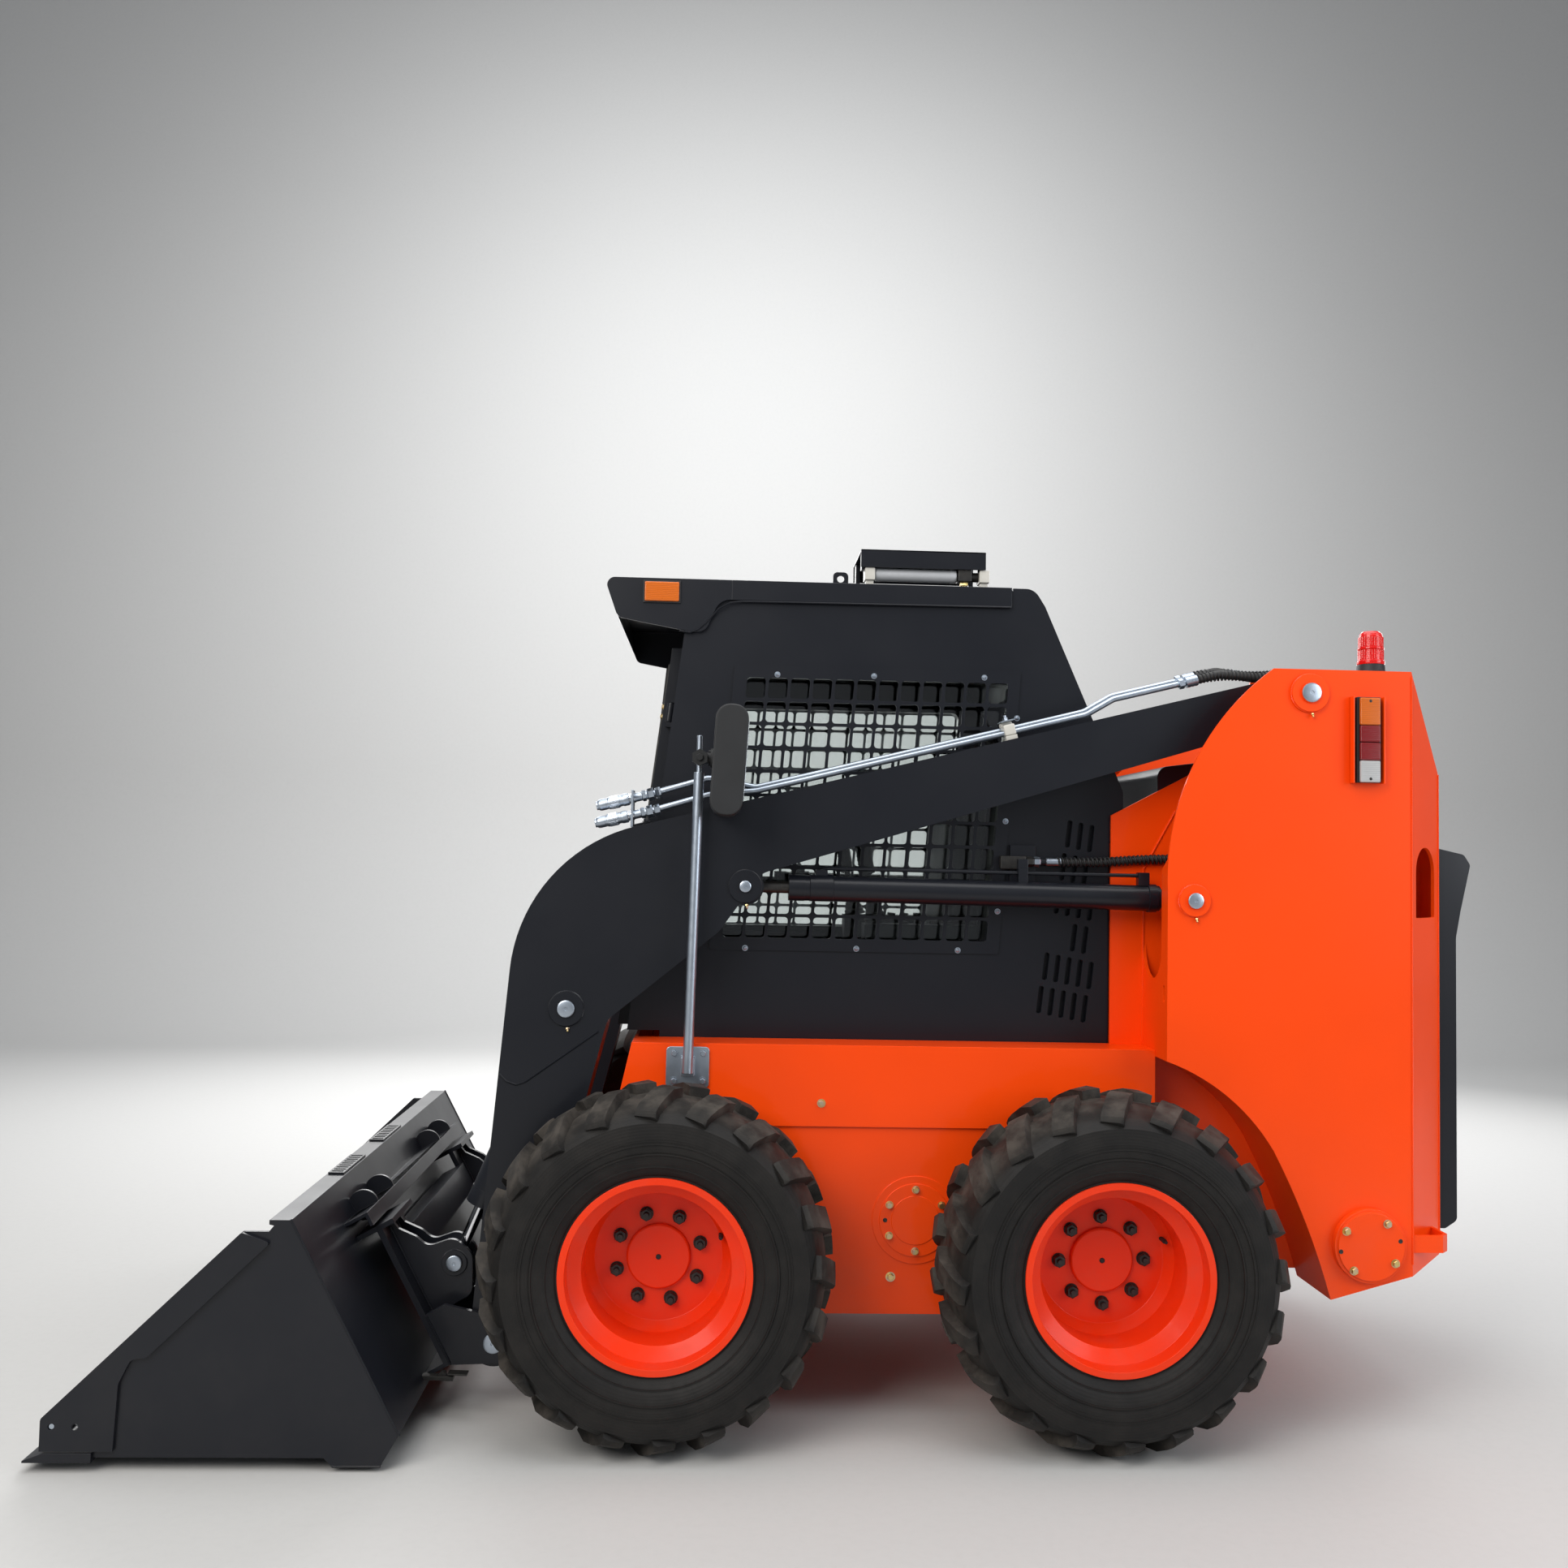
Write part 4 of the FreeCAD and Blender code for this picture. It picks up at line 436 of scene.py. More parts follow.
def ring(bm, wide, tall, band, depth, place):
    """Flat frame round an opening, band wide and depth thick, facing along the local Z of its place."""
    matrix = place @ Matrix.Diagonal((tall + 2 * band, wide + 2 * band, 1.0, 1.0))
    grown = bmesh.ops.create_grid(bm, x_segments=1, y_segments=1, size=0.5, matrix=matrix)
    middle_face = grown["verts"][0].link_faces[0]
    around = bmesh.ops.inset_region(bm, faces=[middle_face], thickness=band, use_boundary=True,
                                    use_even_offset=True)["faces"]
    bmesh.ops.delete(bm, geom=[middle_face], context="FACES")
    raised = bmesh.ops.extrude_face_region(bm, geom=around, use_keep_orig=True)["geom"]
    lift = place.to_3x3() @ Vector((0, 0, depth))
    bmesh.ops.translate(bm, vec=lift, verts=[item for item in raised if isinstance(item, bmesh.types.BMVert)])


def hexagon_bolt(bm, seat, axis, across, height, washer=0.0):
    """Hexagon head with a chamfered crown, on a round washer where one is asked for."""
    axis = Vector(axis).normalized()
    start = Vector(seat)
    if washer:
        prism(bm, 20, washer, start, axis, 0.0015)
        start = start + axis * 0.0015
    radius = across / math.sqrt(3)
    prism(bm, 6, radius, start, axis, height * 0.8)
    prism(bm, 6, radius, start + axis * height * 0.8, axis, height * 0.2, radius * 0.86)


def button_head(bm, seat, axis, radius, height):
    profile = [(0.0, height), (radius * 0.32, height), (radius * 0.36, height * 0.55), (radius * 0.5, height * 0.6),
               (radius * 0.56, height * 0.98), (radius * 0.8, height * 0.72), (radius, height * 0.2), (radius, 0.0)]
    spun(bm, profile, seat, axis, 14)


def weld(bm, start, end, radius):
    """Rippled weld bead between two points."""
    start = Vector(start)
    run = Vector(end) - start
    count = max(2, round(run.length / (radius * 0.9)))
    turn = square_to(run)
    for i in range(count + 1):
        matrix = Matrix.Translation(start + run * (i / count)) @ turn @ Matrix.Diagonal((radius, radius, radius * 0.8, 1))
        bmesh.ops.create_icosphere(bm, subdivisions=1, radius=1.0, matrix=matrix)


def weld_ring(bm, centre, axis, ring, radius):
    """Weld bead round a pin or boss."""
    count = round(2 * math.pi * ring / (radius * 0.9))
    turn = square_to(axis)
    for i in range(count):
        spoke = turn @ Matrix.Rotation(2 * math.pi * i / count, 4, "Z")
        matrix = Matrix.Translation(Vector(centre)) @ spoke @ Matrix.Translation((ring, 0, 0))
        bmesh.ops.create_icosphere(bm, subdivisions=1, radius=radius, matrix=matrix)


def make(name, body, finish_name, build, edge=0.0, smooth=True):
    """New piece: build draws into a bmesh, then its doubles are merged and its normals point outwards."""
    bm = bmesh.new()
    build(bm)
    bmesh.ops.remove_doubles(bm, verts=bm.verts, dist=1e-6)
    bmesh.ops.recalc_face_normals(bm, faces=bm.faces)
    for face in bm.faces:
        face.smooth = smooth
    mesh = bpy.data.meshes.new(name)
    bm.to_mesh(mesh)
    bm.free()
    piece = bpy.data.objects.new(name, mesh)
    bpy.context.scene.collection.objects.link(piece)
    return settle(piece, body, finish_name, edge)


def settle(piece, body, finish_name, edge=0.0):
    """Gives a piece its rounding, shading, finish and body."""
    if edge:
        rounding = piece.modifiers.new("Rounding", "BEVEL")
        rounding.width = edge
        rounding.segments = 2
        rounding.limit_method = "ANGLE"
        rounding.angle_limit = math.radians(30)
    if piece.type == "MESH":
        weights = piece.modifiers.new("Face weights", "WEIGHTED_NORMAL")
        weights.keep_sharp = True
        piece.data.set_sharp_from_angle(angle=math.radians(180 if edge else 40))
    piece.data.materials.clear()
    piece.data.materials.append(finish(finish_name))
    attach(piece, body)
    return piece


def dressed(node, finish_name, edge):
    """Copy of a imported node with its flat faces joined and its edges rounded, in the node's place."""
    bm = bmesh.new()
    bm.from_mesh(frame["nodes"][node].data)
    bmesh.ops.remove_doubles(bm, verts=bm.verts, dist=2e-5)
    bmesh.ops.dissolve_limit(bm, angle_limit=math.radians(0.6), verts=bm.verts, edges=bm.edges)
    for face in bm.faces:
        face.smooth = True
    mesh = bpy.data.meshes.new(f"{node}_finished")
    bm.to_mesh(mesh)
    bm.free()
    piece = bpy.data.objects.new(f"{node}_finished", mesh)
    bpy.context.scene.collection.objects.link(piece)
    settle(piece, home[node], finish_name, edge)
    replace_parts(piece, node)
    return piece


def route_points(points):
    """Points along the smooth route that a hose or thin pipe takes through its control points."""
    curve = route_curve("route", points, 0.0)
    carrier = bpy.data.objects.new("route", curve)
    line = bpy.data.meshes.new_from_object(carrier)
    found = [vert.co.copy() for vert in line.vertices]
    bpy.data.objects.remove(carrier)
    bpy.data.meshes.remove(line)
    bpy.data.curves.remove(curve)
    return found


def route_curve(name, points, radius):
    curve = bpy.data.curves.new(name, "CURVE")
    curve.dimensions = "3D"
    curve.resolution_u = 10
    spline = curve.splines.new("NURBS")
    spline.points.add(len(points) - 1)
    for control, place in zip(spline.points, points):
        control.co = (*place, 1.0)
    spline.order_u = 3
    spline.use_endpoint_u = True
    curve.bevel_depth = radius
    curve.bevel_resolution = 3
    curve.use_fill_caps = True
    return curve


def thin_pipe(name, body, finish_name, points, radius):
    piece = bpy.data.objects.new(name, route_curve(name, points, radius))
    bpy.context.scene.collection.objects.link(piece)
    return settle(piece, body, finish_name)


def spiral(name, body, points, radius, pitch, wire):
    """Spiral guard wound round a hose along its route."""
    line = route_points(points)
    curve = bpy.data.curves.new(name, "CURVE")
    curve.dimensions = "3D"
    turns = []
    travelled = 0.0
    side = (line[1] - line[0]).orthogonal().normalized()
    for start, end in zip(line, line[1:]):
        run = end - start
        ahead = run.normalized()
        side = (side - ahead * side.dot(ahead)).normalized()
        steps = max(1, round(run.length / (pitch / 10)))
        for i in range(steps):
            place = start + run * (i / steps)
            angle = 2 * math.pi * (travelled + run.length * i / steps) / pitch
            spoke = side * math.cos(angle) + ahead.cross(side) * math.sin(angle)
            turns.append(place + spoke * radius)
        travelled += run.length
    spline = curve.splines.new("POLY")
    spline.points.add(len(turns) - 1)
    for control, place in zip(spline.points, turns):
        control.co = (*place, 1.0)
    curve.bevel_depth = wire
    curve.bevel_resolution = 0
    curve.use_fill_caps = True
    piece = bpy.data.objects.new(name, curve)
    bpy.context.scene.collection.objects.link(piece)
    return settle(piece, body, "black_plastic")


# Stage
class LOADER_OT_stage(bpy.types.Operator):
    """Pale floor, soft lights and the camera of the photograph's viewpoint"""

    bl_idname = "loader.stage"
    bl_label = "Stage"

    def execute(self, context):
        stage = context.scene.loader_stage
        camera = bpy.data.objects.new("Viewpoint", bpy.data.cameras.new("Viewpoint"))
        camera.location = (-0.2245, -4.160, 1.342)
        camera.rotation_euler = [math.radians(a) for a in (92.975446, -1.144596, -2.478529)]
        camera.data.lens = stage.lens
        camera.data.sensor_width = 36.0
        camera.data.clip_end = 100.0
        context.scene.collection.objects.link(camera)
        context.scene.camera = camera
        self.backdrop()
        self.lights(stage)
        world = bpy.data.worlds.new("Soft sky")
        world.use_nodes = True
        world.node_tree.nodes["Background"].inputs["Color"].default_value = (0.88, 0.93, 1.0, 1.0)
        world.node_tree.nodes["Background"].inputs["Strength"].default_value = 0.32
        context.scene.world = world
        context.scene.view_settings.view_transform = "Standard"
        return {"FINISHED"}

    def backdrop(self):
        """Floor that bends up into a plain wall far behind the machine."""
        bm = bmesh.new()
        ends = [bm.verts.new((x, 6.0, 0.0)) for x in (-15.0, 15.0)]
        front = bm.edges.new(ends)
        bend = bmesh.ops.spin(bm, geom=[*ends, front], cent=(0, 6.0, 2.0), axis=(1, 0, 0), angle=math.pi / 2, steps=12)
        top = [item for item in bend["geom_last"] if isinstance(item, bmesh.types.BMEdge)]
        for edges, move in (([front], (0, -20, 0)), (top, (0, 0, 8))):
            grown = bmesh.ops.extrude_edge_only(bm, edges=edges)
            bmesh.ops.translate(bm, vec=move, verts=[v for v in grown["geom"] if isinstance(v, bmesh.types.BMVert)])
        bmesh.ops.recalc_face_normals(bm, faces=bm.faces)
        for face in bm.faces:
            face.smooth = True
        mesh = bpy.data.meshes.new("Floor")
        bm.to_mesh(mesh)
        bm.free()
        floor = bpy.data.objects.new("Floor", mesh)
        bpy.context.scene.collection.objects.link(floor)
        mesh.materials.append(finish("floor"))

    def lights(self, stage):
        # name, place, aims at, size, share of the key light, tint
        rows = (
            ("Key", (-3.2, -4.6, 4.2), (0.0, 0.0, 0.8), 3.6, 1.0, (1.0, 0.97, 0.92)),
            ("Overhead", (0.4, -0.6, 5.6), (0.0, 0.0, 0.6), 5.5, 0.9, (1.0, 1.0, 1.0)),
            ("Side fill", (4.6, -3.6, 2.6), (0.3, 0.0, 1.0), 2.8, 0.45, (0.92, 0.96, 1.0)),
            ("Back edge", (-1.5, 4.8, 3.6), (0.0, 0.0, 1.0), 3.4, 0.6, (1.0, 1.0, 1.0)),
            ("Far fill", (4.0, 4.0, 3.0), (0.0, 0.0, 0.8), 3.0, 0.4, (1.0, 1.0, 1.0)),
            ("Backdrop", (0.0, 3.4, 5.5), (0.0, 8.0, 2.6), 5.0, 1.5, (0.96, 0.98, 1.0)),
        )
        for name, place, aim, size, share, tint in rows:
            data = bpy.data.lights.new(name, "AREA")
            data.shape = "SQUARE"
            data.size = size
            data.energy = stage.key_power * share
            data.color = tint
            lamp = bpy.data.objects.new(name, data)
            lamp.location = place
            lamp.visible_camera = False
            lamp.rotation_euler = (Vector(aim) - Vector(place)).to_track_quat("-Z", "Y").to_euler()
            bpy.context.scene.collection.objects.link(lamp)


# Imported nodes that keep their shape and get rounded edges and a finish
PLATES = {
    "main_frame": "orange_paint", "tower_left": "orange_paint", "tower_right": "orange_paint",
    "inspection_covers": "orange_paint", "cab_frame": "black_paint", "cab_roof": "black_paint",
    "cab_visor": "black_paint", "lifting_eyes": "black_paint",
    "side_guard_left": "black_paint", "side_guard_right": "black_paint", "front_door": "black_paint",
    "rear_door": "black_paint", "engine_hood": "black_paint", "hose_brackets": "black_paint",
    "arm_left": "black_paint", "arm_right": "black_paint", "arm_cross_tube": "black_paint",
    "hitch_frame": "black_paint", "bucket_shell": "black_paint", "bucket_edges": "black_paint",
    "aux_pipes": "zinc_steel", "mirror_poles": "zinc_steel",
    "seat_frame": "black_plastic", "operator_controls": "black_plastic", "engine_block": "cast_iron",
    "lift_barrel_left": "black_paint", "lift_barrel_right": "black_paint",
    "tilt_barrel_left": "black_paint", "tilt_barrel_right": "black_paint",
    "lift_rod_left": "black_oxide", "lift_rod_right": "black_oxide",
    "tilt_rod_left": "chrome_rod", "tilt_rod_right": "chrome_rod",
    "cab_glass": "glass", "door_glass": "glass",
    "rim_front_left": "rim_paint", "rim_front_right": "rim_paint",
    "rim_rear_left": "rim_paint", "rim_rear_right": "rim_paint",
    "arm_hoses": "hose_rubber", "frame_hoses": "hose_rubber",
}


class LOADER_OT_plates(bpy.types.Operator):
    """Painted plates, cylinders, pipes and panels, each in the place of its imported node"""

    bl_idname = "loader.plates"
    bl_label = "Plates and cylinders"

    def execute(self, context):
        edge = context.scene.loader_sizes.plate_edge
        for node, finish_name in PLATES.items():
            soft = 4 * edge if node == "seat_frame" else edge
            thin = finish_name in ("glass", "hose_rubber")
            dressed(node, finish_name, 0.3 * edge if thin else soft)
        return {"FINISHED"}


class LOADER_OT_tyres(bpy.types.Operator):
    """Tyres with rounded lugs and raised rings on their walls"""

    bl_idname = "loader.tyres"
    bl_label = "Tyres"

    def execute(self, context):
        edge = context.scene.loader_sizes.tread_edge
        for end, hub in axle.items():
            for side, sign in SIDES.items():
                node = f"tyre_{end}_{side}"
                dressed(node, "tyre_rubber", edge)
                low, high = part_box(node)
                wall = high[1] if sign > 0 else low[1]
                centre = Vector((hub.x, wall, hub.z))

                def rings(bm, centre=centre, sign=sign):
                    for ring, sink, half in ((0.2985, 0.0006, 0.0018), (0.3055, 0.0005, 0.0012),
                                             (0.2755, 0.0035, 0.0014), (0.2455, 0.0185, 0.0016)):
                        rise = 0.0016
                        profile = [(ring - half * 2, -sink - 0.003), (ring - half, rise - sink),
                                   (ring + half, rise - sink), (ring + half * 2, -sink - 0.003),
                                   (ring - half * 2, -sink - 0.003)]
                        spun(bm, profile, centre, (0, sign, 0), 72)

                make(f"tyre_rings_{end}_{side}", home[node], "tyre_rubber", rings)
        return {"FINISHED"}


class LOADER_OT_wheel_nuts(bpy.types.Operator):
    """Eight nuts with studs on each wheel, the hub cap's plug and the valve"""

    bl_idname = "loader.wheel_nuts"
    bl_label = "Wheel nuts"

    def execute(self, context):
        # how far the wheels had rolled, as the angle of their first nut
        first_nut = {"front": math.radians(17.5), "rear": math.radians(1.5)}
        for end, hub in axle.items():
            for side, sign in SIDES.items():
                low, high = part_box(f"rim_{end}_{side}")
                outer = high[1] if sign > 0 else low[1]
                plate = Vector((hub.x, outer - sign * 0.1845, hub.z))
                outward = Vector((0, sign, 0))

                def nuts(bm, plate=plate, outward=outward, start=first_nut[end]):
                    for i in range(8):
                        angle = 2 * math.pi * i / 8 + start
                        seat = plate + Vector((math.cos(angle), 0, math.sin(angle))) * 0.1016
                        prism(bm, 20, 0.0165, seat, outward, 0.002)
                        hexagon_bolt(bm, seat + outward * 0.002, outward, 0.027, 0.015)
                        prism(bm, 12, 0.0072, seat + outward * 0.017, outward, 0.008, 0.0062)

                make(f"wheel_nuts_{end}_{side}", home[f"rim_{end}_{side}"], "black_oxide", nuts)

                def plug(bm, plate=plate, outward=outward):
                    spun(bm, [(0.0, 0.0152), (0.005, 0.0152), (0.0062, 0.0142), (0.0062, 0.0122)], plate, outward, 16)
                    valve = plate + Vector((0.145, 0, 0.05))
                    prism(bm, 12, 0.0055, valve, outward, 0.03)
                    prism(bm, 12, 0.0042, valve + outward * 0.03, outward, 0.012, 0.0036)

                make(f"hub_plug_{end}_{side}", home[f"rim_{end}_{side}"], "black_plastic", plug)
        return {"FINISHED"}


class LOADER_OT_pins(bpy.types.Operator):
    """Zinc pin heads, grease nipples and weld beads round the bosses at the pivots"""

    bl_idname = "loader.pins"
    bl_label = "Pivot pins"

    def execute(self, context):
        # name, body, x, z, distance from the middle plane to the pin's end, pin radius, boss radius, boss face
        rows = (
            ("arm_pivot", "machine", 508.0, 1776.0, 668.0, 25.0, 46.0, 663.0),
            ("lift_base", "machine", 225.0, 1263.0, 666.0, 20.0, 38.0, 661.0),
            ("lift_eye", "loader_arm", -863.0, 1275.0, 558.0, 15.0, 40.0, 554.0),
            ("tilt_base", "loader_arm", -1294.0, 969.0, 558.0, 22.0, 42.0, 554.0),
            ("tilt_eye", "bucket", -1552.0, 345.0, 518.0, 20.0, 30.0, 514.0),
            ("hitch_pin", "bucket", -1445.0, 170.0, 566.0, 25.0, 25.0, 566.0),
        )
        for name, body, x, z, end, radius, boss, face in rows:
            for side, sign in SIDES.items():
                outward = Vector((0, sign, 0))
                centre = at(x, sign * end, z)
                r = radius * MM

                def head(bm, centre=centre, outward=outward, r=r):
                    spun(bm, [(0.0, 0.0022), (r * 0.16, 0.0022), (r * 0.2, 0.0034), (r * 0.78, 0.0034),
                              (r * 0.94, 0.0018), (r * 0.97, 0.0), (r * 0.97, -0.002)], centre, outward, 40)

                make(f"pin_head_{name}_{side}", body, "zinc_steel", head)
                nipple = at(x, sign * face, z) + Vector((0.1, 0, -1)).normalized() * (boss + 5.5) * MM
                nipple = nipple - outward * 0.004
                down = Vector((0.1, sign * 0.5, -1)).normalized()

                def greaser(bm, nipple=nipple, down=down):
                    hexagon_bolt(bm, nipple, down, 0.008, 0.004)
                    spun(bm, [(0.0026, 0.0035), (0.0022, 0.006), (0.0031, 0.0075), (0.0031, 0.0088), (0.0, 0.0108)],
                         nipple, down, 12)

                if body != "bucket":
                    make(f"grease_nipple_{name}_{side}", body, "yellow_zinc", greaser)

                def collar(bm, x=x, z=z, sign=sign, face=face, boss=boss, outward=outward):
                    weld_ring(bm, at(x, sign * (face - 7.5), z), outward, boss * MM, 0.0032)

                if boss > radius:
                    paint = "orange_paint" if body == "machine" else "black_paint"
                    make(f"pin_weld_{name}_{side}", body, paint, collar)
        return {"FINISHED"}


class LOADER_OT_fasteners(bpy.types.Operator):
    """Screws and bolts of the guards, covers, fenders, mirrors and bucket"""

    bl_idname = "loader.fasteners"
    bl_label = "Fasteners"

    def execute(self, context):
        guard = ((-790.0, 1816.6), (-541.4, 1818.7), (-255.7, 1821.8), (-898.2, 1722.0), (-170.0, 1718.8),
                 (-196.3, 1452.4), (-858.3, 1117.1), (-575.3, 1119.9), (-315.4, 1120.3), (-214.4, 1221.3))
        for side, sign in SIDES.items():
            outward = Vector((0, sign, 0))

            def guard_screws(bm, sign=sign, outward=outward):
                for x, z in guard:
                    seat = at(x, sign * 435.3, z)
                    prism(bm, 18, 0.0075, seat, outward, 0.0012)
                    button_head(bm, seat + outward * 0.0012, outward, 0.0055, 0.0035)

            make(f"guard_screws_{side}", "machine", "zinc_steel", guard_screws)

            def fender_bolts(bm, sign=sign, outward=outward):
                hexagon_bolt(bm, at(-666.0, sign * 560.0, 750.0), outward, 0.013, 0.0055, 0.0105)
                hexagon_bolt(bm, at(-488.8, sign * 552.0, 331.6), outward, 0.014, 0.007, 0.012)

            make(f"fender_bolts_{side}", "machine", "yellow_zinc", fender_bolts)

            def cover_bolts(bm, sign=sign, outward=outward):
                for i in range(6):
                    angle = 2 * math.pi * (i + 0.5) / 6
                    seat = at(-430.5 + 74.0 * math.cos(angle), sign * 558.0, 469.0 + 74.0 * math.sin(angle))
                    hexagon_bolt(bm, seat, outward, 0.014, 0.008, 0.0095)
                for x, z in ((-62.0, 37.0), (38.0, 55.0), (-44.0, -56.0), (57.0, -38.0)):
                    hexagon_bolt(bm, at(652.0 + x, sign * 677.0, 445.0 + z), outward, 0.015, 0.008, 0.0105)

            make(f"cover_bolts_{side}", "machine", "yellow_zinc", cover_bolts)

            # Dark discs drawn at the covers' empty bolt holes: painted shade of the holes.
            def cover_hole_shade(bm, sign=sign, outward=outward):
                for x, y, z in ((577.0, 677.0, 433.6), (722.0, 677.0, 459.2), (-504.5, 558.0, 469.0)):
                    spun(bm, [(0.0, 0.0004), (0.0034, 0.0004), (0.0048, 0.001), (0.0055, 0.0)],
                         at(x, sign * y, z), outward, 16)

            make(f"cover_hole_shade_{side}", "machine", "black_oxide", cover_hole_shade)

            def mirror_bolts(bm, sign=sign, outward=outward):
                for x in (-1032.0, -962.0):
                    for z in (800.0, 867.0):
                        hexagon_bolt(bm, at(x + 5, sign * 566.3, z), outward, 0.013, 0.0055, 0.0105)

            make(f"mirror_bolts_{side}", "machine", "zinc_steel", mirror_bolts)

            def cutter_bolt(bm, sign=sign, outward=outward):
                spun(bm, [(0.0, -0.003), (0.0055, -0.003), (0.0062, -0.004), (0.0062, -0.0125), (0.0, -0.0125)],
                     at(-2331.0, sign * 900.3, 98.0), outward, 20)

            make(f"cutter_bolt_{side}", "bucket", "zinc_steel", cutter_bolt)
        return {"FINISHED"}


class LOADER_OT_welds(bpy.types.Operator):
    """Weld beads where the real plates are joined"""

    bl_idname = "loader.welds"
    bl_label = "Welds"

    def execute(self, context):
        radius = context.scene.loader_sizes.weld_radius
        # piece, body, finish, share of the weld size, then chains of (x, distance from the middle plane, z)
        rows = (
            ("arm_welds", "loader_arm", "black_paint", 0.75, (
                ((-1450, 548, 807), (-1434, 548, 791), (-1410, 548, 783), (-1389, 548, 790), (-1216, 548, 914)),
                ((-1235, 457, 1330), (-1193, 457, 943)),
            )),
            ("tower_welds", "machine", "orange_paint", 0.7, (
                ((160, 447, 900), (160, 447, 1337), (241, 447, 1486)),
                ((166, 448, 1014), (166, 625, 1014)),
                ((763, 653, 400), (763, 653, 1820)), ((893, 523, 400), (893, 523, 1590)),
            )),
            ("cab_welds", "machine", "black_paint", 0.6, (
                ((-1041, 440, 1922), (-1016, 440, 1919), (-996, 440, 1926), (-975, 440, 1945), (-945, 440, 1981),
                 (-915, 440, 1998), (-885, 440, 2002), (-191, 440, 2006)),
            )),
            ("bucket_welds", "bucket", "black_paint", 0.7, (
                ((-1595, 889, 79), (-1842, 889, 537)), ((-1735, 889, 12), (-1634, 889, 12)),
                ((-2245, 879, 42), (-1740, 879, 42)),
            )),
        )
        for name, body, finish_name, share, chains in rows:
            for side, sign in SIDES.items():

                def beads(bm, sign=sign, chains=chains, share=share):
                    for chain in chains:
                        for (x0, y0, z0), (x1, y1, z1) in zip(chain, chain[1:]):
                            weld(bm, at(x0, sign * y0, z0), at(x1, sign * y1, z1), radius * share)

                make(f"{name}_{side}", body, finish_name, beads)
        return {"FINISHED"}


class LOADER_OT_hitch(bpy.types.Operator):
    """Latch pegs at the foot of the hitch and the beads along its ears and gussets"""

    bl_idname = "loader.hitch"
    bl_label = "Hitch details"

    def execute(self, context):
        radius = context.scene.loader_sizes.weld_radius
        upright = Vector((-0.4747, 0.0, 0.8802))
        outward = Vector((0.8802, 0.0, 0.4747))

        def on_back(up, out, y):
            """Point up along the bucket's back from its low corner and out from it."""
            return at(-1595.0, y, 79.0) + (upright * up + outward * out) * MM

        for side, sign in SIDES.items():

            def beads(bm, sign=sign):
                # distance from the middle plane of a plate's face, start and end of its bead
                rows = ((365.0, 16.0, 140.0), (381.0, 16.0, 140.0), (551.0, 16.0, 140.0), (567.0, 16.0, 140.0),
                        (423.0, 124.0, 362.0), (439.0, 124.0, 362.0), (493.0, 124.0, 362.0), (509.0, 124.0, 362.0))
                for y, low, high in rows:
                    weld(bm, on_back(low, 65.0, sign * y), on_back(high, 65.0, sign * y), radius * 0.8)

            make(f"hitch_welds_{side}", "bucket", "black_paint", beads)

            def pegs(bm, sign=sign):
                lean = Matrix.Rotation(math.radians(2.0), 4, "Y")
                block(bm, (0.077, 0.022, 0.011), at(-1572.0, sign * 577.3, 95.0), lean, 0.0015)
                block(bm, (0.046, 0.03, 0.004), at(-1523.0, sign * 581.3, 106.0), lean, 0.001)
                prism(bm, 20, 0.009, at(-1560.0, sign * 566.3, 100.0), (0, sign, 0), 0.016)

            make(f"latch_pegs_{side}", "bucket", "black_oxide", pegs)

        return {"FINISHED"}


